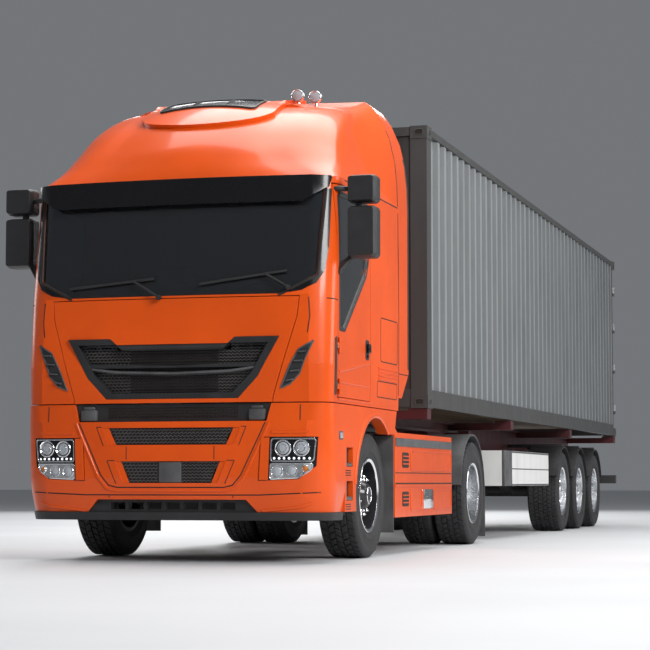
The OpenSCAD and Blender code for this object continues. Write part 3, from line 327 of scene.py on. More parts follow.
def prism(bm, outline, low, high, place):
    """Plate between two depths; place(u, v, depth) gives the point for an outline point."""
    count = len(outline)
    back = [bm.verts.new(place(u, v, low)) for u, v in outline]
    front = [bm.verts.new(place(u, v, high)) for u, v in outline]
    bm.faces.new(list(reversed(back)))
    bm.faces.new(front)
    for i in range(count):
        j = (i + 1) % count
        bm.faces.new((back[i], back[j], front[j], front[i]))


def along(points, step=0.03):
    """Polyline through points with steps no longer than step."""
    out = []
    for a, b in zip(points, points[1:]):
        a, b = Vector(a), Vector(b)
        count = max(1, math.ceil((b - a).length / step))
        out += [a.lerp(b, k / count) for k in range(count)]
    return out + [Vector(points[-1])]


def rounded(points, radius, steps=5):
    """Closed outline with its corners rounded."""
    out = []
    count = len(points)
    for i in range(count):
        p = Vector(points[i])
        back = (Vector(points[i - 1]) - p)
        ahead = (Vector(points[(i + 1) % count]) - p)
        r = min(radius, 0.45 * back.length, 0.45 * ahead.length)
        a, b = p + back.normalized() * r, p + ahead.normalized() * r
        for k in range(steps + 1):
            t = k / steps
            out.append(a.lerp(p, t).lerp(p.lerp(b, t), t))
    return out


class Skin:
    """Ray target made of CAD nodes, to lay trim on their outer faces."""

    def __init__(self, *names, bm=None):
        if bm:
            self.tree = BVHTree.FromBMesh(bm)
            return
        verts, faces = [], []
        for n in names:
            base = len(verts)
            verts += [v.co.copy() for v in NODES[n].data.vertices]
            faces += [[base + i for i in p.vertices] for p in NODES[n].data.polygons]
        self.tree = BVHTree.FromPolygons(verts, faces)

    def cast(self, origin, direction):
        direction = Vector(direction)
        point, normal, _, _ = self.tree.ray_cast(Vector(origin), direction)
        if point is None:
            return None
        return point, -normal if normal.dot(direction) > 0 else normal

    def front(self, y, z):
        return self.cast((AXLE + 4, y, z), (-1, 0, 0))

    def side(self, x, z, s=1):
        return self.cast((AXLE + x, 4 * s, z), (0, -s, 0))

    def top(self, x, y):
        return self.cast((AXLE + x, y, 6), (0, 0, -1))


def ribbon(bm, hits, width, rise, sink=0.006):
    """Strip along hits, a list of (point, normal), with its top rise above the skin."""
    hits = [h for h in hits if h]
    rings = []
    for i, (p, n) in enumerate(hits):
        tangent = hits[min(i + 1, len(hits) - 1)][0] - hits[max(i - 1, 0)][0]
        across = n.cross(tangent).normalized() * width / 2
        section = ((-1, -sink), (-1, rise * 0.5), (-0.7, rise), (0.7, rise), (1, rise * 0.5), (1, -sink))
        rings.append([bm.verts.new(p + across * k + n * h) for k, h in section])
    for one, two in zip(rings, rings[1:]):
        for i in range(6):
            bm.faces.new((one[i], one[(i + 1) % 6], two[(i + 1) % 6], two[i]))
    bm.faces.new(list(reversed(rings[0])))
    bm.faces.new(rings[-1])


def patch(bm, outline, cast, rise, sink=0.006, step=0.04):
    """Closed plate over an outline, laid on the skin by cast(u, v)."""
    ring = along(list(outline) + [outline[0]], step)[:-1]
    low = Vector((min(p.x for p in ring), min(p.y for p in ring)))
    high = Vector((max(p.x for p in ring), max(p.y for p in ring)))
    size = high - low
    grid = []
    for i in range(1, math.ceil(size.x / step)):
        for j in range(1, math.ceil(size.y / step)):
            grid.append(low + Vector((i * step, j * step)))
    verts, _, faces, _, _, _ = delaunay_2d_cdt(ring + grid, [], [list(range(len(ring)))], 1, 1e-5)
    hits = [cast(v.x, v.y) for v in verts]
    found = [h for h in hits if h]
    hits = [h or min(found, key=lambda f: (f[0] - found[0][0]).length) for h in hits]
    top = [bm.verts.new(p + n * rise) for p, n in hits]
    low_side = [bm.verts.new(p - n * sink) for p, n in hits]
    edges = {}
    for f in faces:
        bm.faces.new([top[i] for i in f])
        bm.faces.new([low_side[i] for i in reversed(f)])
        edges.update(dict.fromkeys(zip(f, list(f[1:]) + [f[0]])))
    for a, b in edges:
        if (b, a) not in edges:
            bm.faces.new((top[b], top[a], low_side[a], low_side[b]))


def slab(bm, face, back):
    """Solid between two faces of four corners each."""
    sides = [(k, k + 4, (k + 1) % 4 + 4, (k + 1) % 4) for k in range(4)]
    add_faces(bm, face + back, [(0, 1, 2, 3), (7, 6, 5, 4)] + sides)


def side_block(bm, s, xs, ys, zs, bevel):
    """Block on side s, 1 for left and -1 for right; ys are distances from the centre plane."""
    y0, y1 = sorted((s * ys[0], s * ys[1]))
    block(bm, (xs[0], y0, zs[0]), (xs[1], y1, zs[1]), bevel)


def meshes(count):
    return [bmesh.new() for _ in range(count)]


# Outlines and strips
def rect(u0, u1, v0, v1, radius=0.0):
    """Rectangle, with rounded corners where a radius is given."""
    corners = [(u0, v0), (u1, v0), (u1, v1), (u0, v1)]
    return rounded(corners, radius) if radius else corners


def closed(points):
    return list(points) + [points[0]]


def grow(points, by):
    """Outline moved out from its middle."""
    mid = sum((Vector(p) for p in points), Vector((0, 0))) / len(points)
    return [Vector(p) + (Vector(p) - mid).normalized() * by for p in points]


def flip(points):
    """Outline as it lies on the other side."""
    return [(-p[0], p[1]) for p in points]


def both(points):
    return points, flip(points)


def sided(points, s):
    return points if s > 0 else flip(points)


def whole_width(half):
    """Line from side to side, from its left half, which runs outwards."""
    return flip(reversed(half)) + half


def on_side(skin, s):
    return lambda x, z: skin.side(x, z, s)


def lay(bm, cast, points, width, rise, step=0.03):
    """Strip along points on the skin that cast(u, v) meets."""
    ribbon(bm, [cast(p.x, p.y) for p in along(points, step)], width, rise)


def zigzag(bm, x, y0, y1, z, tooth=0.011, pitch=0.032, radius=0.0042):
    """One wavy wire of a grille mesh."""
    count = max(2, round((y1 - y0) / (pitch / 2)))
    points = [(x, y0 + (y1 - y0) * k / count, z + tooth * (1 if k % 2 else -1) / 2) for k in range(count + 1)]
    tube(bm, points, radius, 4)


# Tyres and wheels
def tyre(bm, centre, radius, width, rim, rows, blocks, groove=0.014):
    """Carcass with sidewall rings, and rows of tread blocks that alternate round it."""
    half = width / 2
    side = [(rim - 0.014, 0.80), (rim + 0.004, 0.88), (rim + 0.012, 0.90), (rim + 0.030, 0.965),
            (rim + 0.045, 0.985), (rim + 0.048, 1.0), (rim + 0.056, 1.0), (rim + 0.059, 0.99),
            (radius - 0.085, 1.0), (radius - 0.055, 0.985), (radius - 0.052, 0.995), (radius - 0.044, 0.985),
            (radius - 0.030, 0.955), (radius - groove - 0.004, 0.90)]
    profile = [(r, -half * a) for r, a in side] + [(radius - groove, -half * 0.8), (radius - groove, half * 0.8)]
    profile += [(r, half * a) for r, a in reversed(side)]
    lathe(bm, profile, centre, steps=96)
    centre = Vector(centre)
    total = sum(rows)
    tread = width * 0.90
    gap = 0.010
    edge = -tread / 2
    pitch = 2 * math.pi / blocks
    for k, share in enumerate(rows):
        y0, y1 = edge + gap / 2, edge + tread * share / total - gap / 2
        edge += tread * share / total
        outer = k in (0, len(rows) - 1)
        top = radius - (0.005 if outer else 0.0)
        skew = 0.16 * pitch * (1 if k % 2 else -1)
        for b in range(blocks):
            a0 = (b + 0.5 * (k % 2)) * pitch
            tread_block(bm, centre, (radius - groove - 0.004, top), (y0, y1), (a0, a0 + pitch * 0.84), skew)


def tread_block(bm, centre, radii, ys, angles, skew, chamfer=0.004):
    def ring(r, inset):
        da = inset / r
        corners = ((ys[0] + inset, angles[0] + da - skew), (ys[1] - inset, angles[0] + da + skew),
                   (ys[1] - inset, angles[1] - da + skew), (ys[0] + inset, angles[1] - da - skew))
        return [bm.verts.new(centre + Vector((r * math.cos(a), y, r * math.sin(a)))) for y, a in corners]
    base, rim, top = ring(radii[0], 0), ring(radii[1] - chamfer, 0), ring(radii[1], chamfer)
    for one, two in ((base, rim), (rim, top)):
        for i in range(4):
            bm.faces.new((one[i], one[(i + 1) % 4], two[(i + 1) % 4], two[i]))
    bm.faces.new(top)
    bm.faces.new(list(reversed(base)))


def hexagon_nut(bm, centre, out, radius, height):
    """Nut on a conical washer with a rounded stud end, standing along out."""
    lathe(bm, [(0.0, 0.0), (radius * 1.5, 0.0), (radius * 1.3, height * 0.22), (0.0, height * 0.22)], centre, out, 20)
    lathe(bm, [(0.0, 0.0), (radius * 1.1, 0.0), (radius * 1.1, height * 0.8), (radius * 0.85, height), (0.0, height)],
          centre, out, 6)
    lathe(bm, [(0.0, 0.0), (radius * 0.55, 0.0), (radius * 0.55, height * 1.35), (radius * 0.3, height * 1.5),
               (0.0, height * 1.5)], centre, out, 14)


RIM = 0.302
NUT_CIRCLE = 0.152
NUTS = 10
BLOCK_ROWS = (1.15, 1, 1, 1, 1.15)
RIB_ROWS = (1.2, 1, 1, 1, 1, 1.2)
# Faces of the disc, hub cap and rim flange, as distances from the vehicle's centre plane
FRONT_WHEEL = dict(disc_y=1.115, cap_y=1.180, flange_y=1.175, tyre_w=0.315, rows=BLOCK_ROWS, blocks=46)
DRIVE_WHEELS = dict(disc_y=1.0225, cap_y=1.1025, flange_y=1.2325, tyre_w=0.315, rows=BLOCK_ROWS, blocks=46)
TRAILER_WHEEL = dict(disc_y=1.125, cap_y=1.177, flange_y=1.188, tyre_w=0.385, rows=RIB_ROWS, blocks=60)


def dress_wheel(name, body, side, tyre_node, disc_y, cap_y, flange_y, tyre_w, rows, blocks):
    """Detailed tyres, nuts with a hub ring, valve and bright rim ring of one wheel body."""
    hub = middle(tyre_node)
    out = Vector((0, side, 0))
    low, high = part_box(tyre_node)
    radius = (high.z - low.z) / 2
    bm = bmesh.new()
    for k in range(round((high.y - low.y) / tyre_w)):
        y = low.y + tyre_w / 2 if k == 0 else high.y - tyre_w / 2
        tyre(bm, (hub.x, y, hub.z), radius, tyre_w, RIM, rows, blocks)
    piece(f"tyre_{name}", bm, RUBBER, 35, body=body, replace=[tyre_node])

    bm = bmesh.new()
    for k in range(NUTS):
        a = 2 * math.pi * (k + 0.5) / NUTS
        spot = Vector((hub.x + NUT_CIRCLE * math.cos(a), side * disc_y, hub.z + NUT_CIRCLE * math.sin(a)))
        hexagon_nut(bm, spot, out, 0.016, 0.026)
    lathe(bm, [(0.060, -0.004), (0.072, -0.004), (0.072, 0.003), (0.066, 0.006), (0.060, 0.003)],
          (hub.x, side * cap_y, hub.z), out, 40)
    piece(f"nuts_{name}", bm, CHROME, 35, body=body)

    bm = bmesh.new()
    valve = Vector((hub.x + 0.235, side * (disc_y - 0.03), hub.z + 0.075))
    bend, tip = valve + out * 0.07 + Vector((0.008, 0, 0)), valve + out * 0.09 + Vector((0.012, 0, 0))
    tube(bm, [valve, valve + out * 0.05, bend], 0.006, 10)
    tube(bm, [bend, tip], 0.009, 10)
    piece(f"valve_{name}", bm, CHROME, 35, body=body)

    bm = bmesh.new()
    lathe(bm, [(RIM - 0.030, -0.004), (RIM - 0.004, -0.004), (RIM - 0.001, 0.004), (RIM - 0.006, 0.008),
               (RIM - 0.020, 0.004), (RIM - 0.030, 0.001)], (hub.x, side * flange_y, hub.z), out, 96)
    piece(f"rim_ring_{name}", bm, CHROME, 35, body=body)


for side_name, side in SIDES:
    dress_wheel(f"front_{side_name}", f"front_wheel_{side_name}", side, f"front_tyre_{side_name}", **FRONT_WHEEL)
    NODES[f"front_rim_{side_name}"].data.materials[0] = RIM_DARK
    dress_wheel(f"drive_{side_name}", f"drive_wheels_{side_name}", side, f"drive_tyres_{side_name}", **DRIVE_WHEELS)
    for i in (1, 2, 3):
        name = f"{i}_{side_name}"
        dress_wheel(f"trailer_{name}", f"trailer_wheel_{name}", side, f"trailer_tyre_{name}", **TRAILER_WHEEL)


# Body panels
def soften(node, material=None, angle=30):
    """Copy of a CAD node with soft shading over its facets, in the node's place."""
    bm = bmesh.new()
    bm.from_mesh(NODES[node].data)
    bmesh.ops.remove_doubles(bm, verts=bm.verts, dist=2e-5)
    bmesh.ops.dissolve_limit(bm, angle_limit=math.radians(0.4), verts=bm.verts, edges=bm.edges)
    material = material or MATERIAL_OF_SLOT[SLOT_OF[node]]
    obj = piece(f"{node}_skin", bm, material, angle, body=BODY_OF[node], slot=SLOT_OF[node], replace=[node])
    obj.modifiers.new("soft", "WEIGHTED_NORMAL").keep_sharp = True


for node in ("cab_shell", "cab_front", "cab_deflectors", "bumper", "side_panels", "windscreen",
             "door_left", "door_right", "door_glass_left", "door_glass_right"):
    soften(node)
soften("sun_visor", GLOSS_BLACK)
for node in ("mirrors_left", "mirrors_right", "bumper_trim", "grille"):
    soften(node, BLACK)
NODES["mudguards"].data.materials[0] = GREY_PLASTIC

# Front end: outlines are (y, height) on the vehicle's left
SEAM_W, SEAM_RISE = 0.009, 0.0015
PANEL_SEAM = [(0.43, 0.572), (0.50, 0.588), (0.565, 0.665), (0.752, 1.062)]
LOWER_SEAM = [(0.7, 0.515), (1.16, 0.535)]
FENDER_GROOVE = [(1.075, 2.005), (1.085, 1.86), (1.07, 1.735)]
SLOT_SEAM = [(1.02, 1.075), (1.02, 1.195)]
INTAKE_SEAMS = ([(0.605, 1.032), (0.548, 0.890)], [(0.515, 0.776), (0.440, 0.600)], [(0.355, 0.885), (0.355, 0.785)],
                [(0.605, 1.032), (0.565, 1.032)], [(0.515, 0.776), (0.452, 0.776)], [(0.50, 0.51), (0.50, 0.492)])
PANEL_BEVEL = [(0.43, 0.548), (0.515, 0.563), (0.592, 0.655), (0.782, 1.062)]
LAMP_BEVEL = [(0.80, 0.985), (1.09, 0.99)]
LIP_BEVEL = [(0.72, 0.395), (1.0, 0.425), (1.10, 0.455)]
front_skin = Skin("cab_shell", "cab_front", "bumper")
seams, bevels = meshes(2)
for points in (whole_width(PANEL_SEAM), whole_width(LOWER_SEAM), *both(FENDER_GROOVE)):
    lay(seams, front_skin.front, points, SEAM_W, SEAM_RISE)
for points in both(SLOT_SEAM):
    lay(seams, front_skin.front, points, 0.008, SEAM_RISE)
for half in INTAKE_SEAMS:
    for points in both(half):
        lay(seams, front_skin.front, points, 0.006, SEAM_RISE)
piece("front_seams", seams, SEAM)
for points in (whole_width(PANEL_BEVEL), *both(LAMP_BEVEL), *both(LIP_BEVEL)):
    lay(bevels, front_skin.front, points, 0.022, 0.006)

# Sloped ends of the two intakes: outer edge on the bumper's skin, inner edge at the mesh
INTAKE_BACK = 1.40
for depth, outer, inner in ((1.441, ((0.600, 1.026), (0.545, 0.894)), ((0.506, 1.026), (0.444, 0.894))),
                            (1.448, ((0.505, 0.771), (0.435, 0.604)), ((0.400, 0.771), (0.330, 0.604)))):
    for s in (-1, 1):
        face = [front_skin.front(s * y, z)[0] + Vector((0.002, 0, 0)) for y, z in outer]
        face += [Vector((AXLE + depth, s * y, z)) for y, z in reversed(inner)]
        slab(bevels, face, [Vector((AXLE + INTAKE_BACK, p.y, p.z)) for p in face])
piece("front_bevels", bevels, ORANGE, 40)

# Wire mesh of the grille, intakes and slot, in front of dark plates
MESH_ROW = 0.0235
GRILLE_MIDDLE = 0.36
GRILLE_X, UPPER_X, LOWER_X, SLOT_X = AXLE + 1.370, AXLE + 1.4435, AXLE + 1.4505, AXLE + 1.4035


def grille_half(z):
    """Half width of the grille's opening at a height."""
    if z < 1.433:
        return 0.489 + (z - 1.291) * 1.028
    return 0.635 + (z - 1.433) * 0.588


plates, wires, dark_wires = meshes(3)
for outline, x in (([(0.487, 1.292), (0.633, 1.433), (0.735, 1.615)], 1.3625),
                   ([(0.432, 0.900), (0.490, 1.020)], 1.4385),
                   ([(0.318, 0.610), (0.386, 0.765)], 1.4455),
                   ([(0.522, 1.102), (0.522, 1.178)], 1.3985)):
    prism(plates, outline + flip(reversed(outline)), AXLE + x, AXLE + x + 0.0015, lambda u, v, d: Vector((d, u, v)))
for k in range(16):
    z = 1.302 + k * MESH_ROW
    half = grille_half(z) - 0.004
    inner = 0.462
    if z < 1.612:
        zigzag(dark_wires, GRILLE_X, -GRILLE_MIDDLE, GRILLE_MIDDLE, z)
        inner = GRILLE_MIDDLE
    zigzag(wires, GRILLE_X, inner, half, z)
    zigzag(wires, GRILLE_X, -half, -inner, z)
for k in range(5):
    z = 0.914 + k * MESH_ROW
    half = 0.430 + (z - 0.895) * 0.477
    zigzag(wires, UPPER_X, -half, half, z)
for k in range(7):
    z = 0.622 + k * MESH_ROW
    half = 0.318 + (z - 0.605) * 0.424
    for y0, y1 in ((-half, -0.10), (0.10, half)):
        zigzag(wires, LOWER_X, y0, y1, z)
for k in range(3):
    zigzag(dark_wires, SLOT_X, -0.515, 0.515, 1.118 + k * MESH_ROW)
piece("mesh_plates", plates, SEAM)
piece("grille_mesh", wires, GREY_PLASTIC)
piece("grille_mesh_middle", dark_wires, BLACK)

# Bar across the grille, sensors in the slot and the lower intake's middle block
GRILLE_BAR = [(-0.66, 1.478), (-0.45, 1.452), (0, 1.438), (0.45, 1.452), (0.66, 1.478)]
trim = bmesh.new()
steps = along(GRILLE_BAR, 0.04)
for one, two in zip(steps, steps[1:]):
    root = [(AXLE + 1.366, p.x, p.y + dz) for p in (one, two) for dz in (-0.016, 0.018)]
    face = [(AXLE + 1.418, p.x, p.y + dz) for p in (one, two) for dz in (-0.006, 0.010)]
    add_faces(trim, root + face, [(0, 1, 3, 2), (4, 6, 7, 5), (0, 2, 6, 4), (1, 5, 7, 3), (0, 4, 5, 1), (2, 3, 7, 6)])
for s in (-1, 1):
    side_block(trim, s, (AXLE + 1.37, AXLE + 1.428), (0.615, 0.748), (1.076, 1.168), 0.018)
    side_block(trim, s, (AXLE + 1.37, AXLE + 1.415), (0.635, 0.728), (1.168, 1.192), 0.008)
block(trim, (AXLE + 1.40, -0.092, 0.607), (AXLE + 1.456, 0.092, 0.768), 0.008)
piece("front_trim", trim, GREY_PLASTIC, 30)

# Corner vents: black throat with four fins and a moulded rim
VENT = [(1.108, 1.668), (1.004, 1.606), (0.943, 1.495), (0.872, 1.322), (0.945, 1.356), (1.012, 1.428),
        (1.056, 1.548)]
VENT_RIM = [((y - 1.0) * 1.06 + 1.0, (z - 1.5) * 1.04 + 1.5) for y, z in VENT]
VENT_FINS = ([(0.912, 1.372), (0.968, 1.385)], [(0.945, 1.445), (1.012, 1.452)],
             [(0.972, 1.520), (1.040, 1.524)], [(1.005, 1.590), (1.062, 1.592)])
vents, fins = meshes(2)
for outline in both(VENT):
    patch(vents, outline, front_skin.front, 0.003)
for s in (-1, 1):
    for fin in VENT_FINS:
        lay(fins, front_skin.front, sided(fin, s), 0.012, 0.024)
for outline in both(VENT_RIM):
    lay(fins, front_skin.front, closed(outline), 0.012, 0.006)
piece("vent_throats", vents, BLACK)
piece("vent_fins", fins, GREY_PLASTIC, 40)

# Headlamps: dark upper unit with two projectors and a row of lights, bright lower unit
UPPER_UNIT = [(0.795, 0.770), (1.115, 0.770), (1.132, 0.938), (0.800, 0.938)]
LOWER_UNIT = [(0.788, 0.634), (1.008, 0.644), (1.102, 0.704), (1.112, 0.752), (0.792, 0.752)]
LAMP_SURROUND = [(0.706, 0.628), (0.775, 0.628), (0.786, 0.946), (0.721, 0.946)]
PROJECTORS = ((0.890, 0.866, 0.064), (1.030, 0.868, 0.064))
LOWER_LAMPS = ((0.845, 0.692, 0.048), (0.958, 0.696, 0.044))
LED_DOME = [(0.0, -0.004), (0.0095, -0.004), (0.0095, 0.004), (0.006, 0.008), (0.0, 0.009)]
lamp_skin = Skin("headlamps")


def round_lamp(ring, lens, hit, radius):
    """Bezel and domed lens on the skin."""
    point, normal = hit
    lathe(ring, [(radius * 0.80, -0.012), (radius, -0.012), (radius, 0.006), (radius * 0.93, 0.010),
                 (radius * 0.80, 0.002)], point, normal, 40)
    lathe(lens, [(0.0, -0.012), (radius * 0.82, -0.012), (radius * 0.82, -0.002), (radius * 0.6, 0.006),
                 (radius * 0.3, 0.010), (0.0, 0.011)], point, normal, 40)


upper, lower, surround, rings, lenses, leds, ambers = meshes(7)
for s in (-1, 1):
    patch(upper, rounded(sided(UPPER_UNIT, s), 0.02), lamp_skin.front, 0.002)
    patch(lower, rounded(sided(LOWER_UNIT, s), 0.02), lamp_skin.front, 0.002)
    for y, z, r in PROJECTORS + LOWER_LAMPS:
        round_lamp(rings, lenses, lamp_skin.front(s * y, z), r)
    patch(surround, sided(LAMP_SURROUND, s), lamp_skin.front, 0.012)
    for k in range(8):
        point, normal = lamp_skin.front(s * (0.822 + k * 0.038), 0.790)
        lathe(leds, LED_DOME, point, normal, 14)
    for y, z, r in PROJECTORS:
        point, normal = lamp_skin.front(s * y, z)
        lathe(rings, [(0.026, 0.004), (0.032, 0.004), (0.032, 0.012), (0.026, 0.012)], point, normal, 32)
    round_lamp(rings, ambers, lamp_skin.front(s * 1.060, 0.712), 0.028)
    for outline, width in ((UPPER_UNIT, 0.012), (LOWER_UNIT, 0.010)):
        lay(rings, lamp_skin.front, closed(rounded(sided(outline, s), 0.02)), width, 0.007, 0.02)
piece("lamp_surrounds", surround, ORANGE, 40)
piece("lamp_upper", upper, GLOSS_BLACK, slot="lamp_glass")
piece("lamp_lower", lower, REFLECTOR)
piece("lamp_rings", rings, CHROME, 35, slot="lamp_glass")
piece("lamp_lenses", lenses, LENS, 35)
piece("lamp_leds", leds, LED, 35)
piece("lamp_ambers", ambers, AMBER, 35)
NODES["headlamps"].data.materials[0] = GLOSS_BLACK

# Side lamps on the bumper's corners
side_lamps, side_frames = meshes(2)
for s in (-1, 1):
    side_block(side_frames, s, (AXLE + 1.03, AXLE + 1.13), (1.236, 1.2525), (0.935, 1.0), 0.006)
    side_block(side_lamps, s, (AXLE + 1.04, AXLE + 1.12), (1.240, 1.2555), (0.945, 0.99), 0.006)
piece("side_lamp_frames", side_frames, GREY_PLASTIC, 30)
piece("side_lamps", side_lamps, LENS, 30)

# Wipers on the windscreen's lower edge, as pivot, knee and the blade's two ends
WIPERS = (((-0.10, 2.022), (-0.32, 2.150), (-0.86, 2.105), (-0.16, 2.165)),
          ((0.92, 2.075), (0.74, 2.180), (0.22, 2.115), (0.90, 2.205)))
screen_skin = Skin("windscreen", "cab_front", "cab_shell")


def over_screen(y, z, lift):
    point, normal = screen_skin.front(y, z)
    return point + normal * lift


wipers = bmesh.new()
for pivot, knee, low_end, high_end in WIPERS:
    tube(wipers, [over_screen(*pivot, 0.012), over_screen(*pivot, 0.045)], 0.020, 14)
    tube(wipers, [over_screen(*pivot, 0.040), over_screen((pivot[0] + knee[0]) / 2, (pivot[1] + knee[1]) / 2, 0.046),
                  over_screen(*knee, 0.036)], 0.009, 8)
    blade = along([low_end, high_end], 0.08)
    tube(wipers, [over_screen(p.x, p.y, 0.026) for p in blade], 0.010, 8)
    tube(wipers, [over_screen(p.x, p.y, 0.019) for p in blade], 0.006, 6)
piece("wipers", wipers, BLACK, 40)

# Windscreen's rubber, and the dark glass that runs round the cab's corners
SCREEN = [(0.835, 2.035), (1.12, 2.18), (1.15, 2.855), (1.12, 2.895)]
SCREEN_WRAP = [(0.845, 2.034), (1.02, 2.060), (1.125, 2.115), (1.178, 2.21), (1.196, 2.40), (1.196, 2.85),
               (1.152, 2.85), (1.122, 2.178)]
shell_skin = Skin("cab_shell", "cab_front")
rubber, wrap = meshes(2)
for points in both(SCREEN):
    hits = [shell_skin.front(p.x * 1.01, p.y - 0.008) for p in along(points, 0.04)]
    found = [h for h in hits if h and h[0].x > AXLE + 0.9]
    ribbon(rubber, found, 0.014, 0.003)
    tube(rubber, [h[0] - h[1] * 0.004 for h in found], 0.014, 8)
piece("screen_rubber", rubber, SEAM, 40)
for outline in both(SCREEN_WRAP):
    patch(wrap, outline, shell_skin.front, 0.004, step=0.02)
piece("screen_wrap", wrap, GLOSS_BLACK, 40, slot="dark_glass")

# Roof: dome on the cab's upper edge; sections are height, front x, bow of the front, half width, corner radius
DOME = [(2.951, 1.290, 0.085, 1.238, 0.17), (3.08, 1.225, 0.105, 1.180, 0.36), (3.24, 1.125, 0.125, 1.130, 0.46),
        (3.42, 0.950, 0.145, 1.085, 0.48), (3.57, 0.710, 0.155, 1.035, 0.48), (3.68, 0.420, 0.160, 0.980, 0.46),
        (3.735, 0.080, 0.150, 0.930, 0.44), (3.75, -0.25, 0.14, 0.90, 0.42)]
# Rear edge, which the deflectors carry on, and the line where the roof begins to widen: half width, height
REAR_ARCH = [(1.238, 2.951), (1.232, 3.155), (1.212, 3.350), (1.165, 3.550), (1.090, 3.722), (1.010, 3.833),
             (0.950, 3.880)]
WIDENING = [(1.13, 3.00), (1.06, 3.42), (0.93, 3.585), (0.62, 3.690)]
CAB_REAR, WIDENING_X = -0.7595, 0.30


def blend_rows(rows, per_gap):
    """Rows with smooth rows between them."""
    out = []
    for k in range(len(rows) - 1):
        a, b, c, d = (rows[min(max(k + n, 0), len(rows) - 1)] for n in (-1, 0, 1, 2))
        for step in range(per_gap):
            u = step / per_gap
            out.append([0.5 * (2 * q + (r - p) * u + (2 * p - 5 * q + 4 * r - s) * u * u
                               + (3 * q - p - 3 * r + s) * u ** 3) for p, q, r, s in zip(a, b, c, d)])
    return out + [list(rows[-1])]


def dome_ring(bm, height, front, bow, half, corner):
    """Outline of the roof at a height: straight sides, round corners, bowed front."""
    left = [(CAB_REAR, half), (CAB_REAR * 0.5, half), (front - bow - corner, half)]
    for k in range(1, 9):
        a = math.radians(90 * k / 8)
        left.append((front - bow - corner + corner * math.sin(a), half - corner + corner * math.cos(a)))
    for k in range(1, 9):
        y = (half - corner) * (1 - k / 8)
        left.append((front - bow * (y / (half - corner)) ** 2, y))
    points = left + [(x, -y) for x, y in reversed(left[:-1])]
    return [bm.verts.new((AXLE + x, y, height)) for x, y in points]


roof = bmesh.new()
rings = [dome_ring(roof, *row) for row in blend_rows(DOME, 5)]
for one, two in zip(rings, rings[1:]):
    for k in range(len(one)):
        n = (k + 1) % len(one)
        roof.faces.new((one[k], one[n], two[n], two[k]))
roof.faces.new(list(reversed(rings[0])))
roof.faces.new(rings[-1])
corners = []
for x, rows in ((CAB_REAR, REAR_ARCH), (WIDENING_X, WIDENING)):
    corners += [roof.verts.new((AXLE + x, s * y, z)) for y, z in rows for s in (-1, 1)]
bmesh.ops.convex_hull(roof, input=corners, use_existing_faces=False)
roof_skin = Skin(bm=roof)
obj = piece("roof_skin", roof, ORANGE, 32, replace=["cab_roof"])
obj.modifiers.new("soft", "WEIGHTED_NORMAL").keep_sharp = True

# Raised brow with the hatch's glass and its bars, as (x from the front axle, y)
BROW_HALF = 0.56
BROW = [(-0.30, -BROW_HALF)] + [(0.56 + 0.40 * math.cos(math.radians(a)), BROW_HALF * math.sin(math.radians(a)))
                                for a in range(-90, 91, 10)] + [(-0.30, BROW_HALF)]
HATCH = rect(0.30, 0.64, -0.40, 0.40, 0.05)
brow, hatch, hatch_trim = meshes(3)
patch(brow, BROW, roof_skin.top, 0.034, 0.02)
piece("roof_brow", brow, ORANGE, 40)
patch(hatch, HATCH, roof_skin.top, 0.040, 0.0)
lay(hatch_trim, roof_skin.top, closed(HATCH), 0.018, 0.050, 0.02)
for y in (-0.14, 0.14):
    lay(hatch_trim, roof_skin.top, [(0.31, y), (0.63, y)], 0.012, 0.047)
piece("hatch_glass", hatch, GLOSS_BLACK, slot="dark_glass")
piece("hatch_trim", hatch_trim, BLACK, 40)

# Seams in front of the deflectors and under the roof
SEAM_X, ROOF_SEAM_Z = -0.752, 2.945
seam = bmesh.new()
side_hits = Skin("cab_shell")
for s in (-1, 1):
    ribbon(seam, [side_hits.side(SEAM_X, z / 100, s) for z in range(134, 294, 6)], 0.012, 0.002)
    ribbon(seam, [roof_skin.side(SEAM_X, z / 100, s) for z in range(296, 366, 6)], 0.012, 0.002)
    ribbon(seam, [side_hits.side(x / 100, ROOF_SEAM_Z, s) for x in range(-74, 100, 6)], 0.010, SEAM_RISE)
ribbon(seam, [roof_skin.top(SEAM_X, y / 100) for y in range(-92, 93, 8)], 0.012, 0.002)
piece("cab_seams", seam, SEAM)

# Two round lamps on the roof
ROOF_LAMP = [(0.0, -0.055), (0.030, -0.050), (0.050, -0.020), (0.054, 0.020), (0.050, 0.028), (0.044, 0.022),
             (0.0, 0.020)]
ROOF_LENS = [(0.0, 0.018), (0.044, 0.018), (0.040, 0.026), (0.022, 0.032), (0.0, 0.034)]
lamp_bar, lamp_glass = meshes(2)
for y in (0.60, 0.75):
    base, normal = roof_skin.top(0.06, y)
    tube(lamp_bar, [base - Vector((0, 0, 0.02)), base + Vector((0, 0, 0.05))], 0.012, 12)
    centre = base + Vector((0.02, 0, 0.065))
    lathe(lamp_bar, ROOF_LAMP, centre, (1, 0, 0), 32)
    lathe(lamp_glass, ROOF_LENS, centre, (1, 0, 0), 32)
piece("roof_lamps", lamp_bar, CHROME, 35)
piece("roof_lamp_lenses", lamp_glass, LENS, 35)

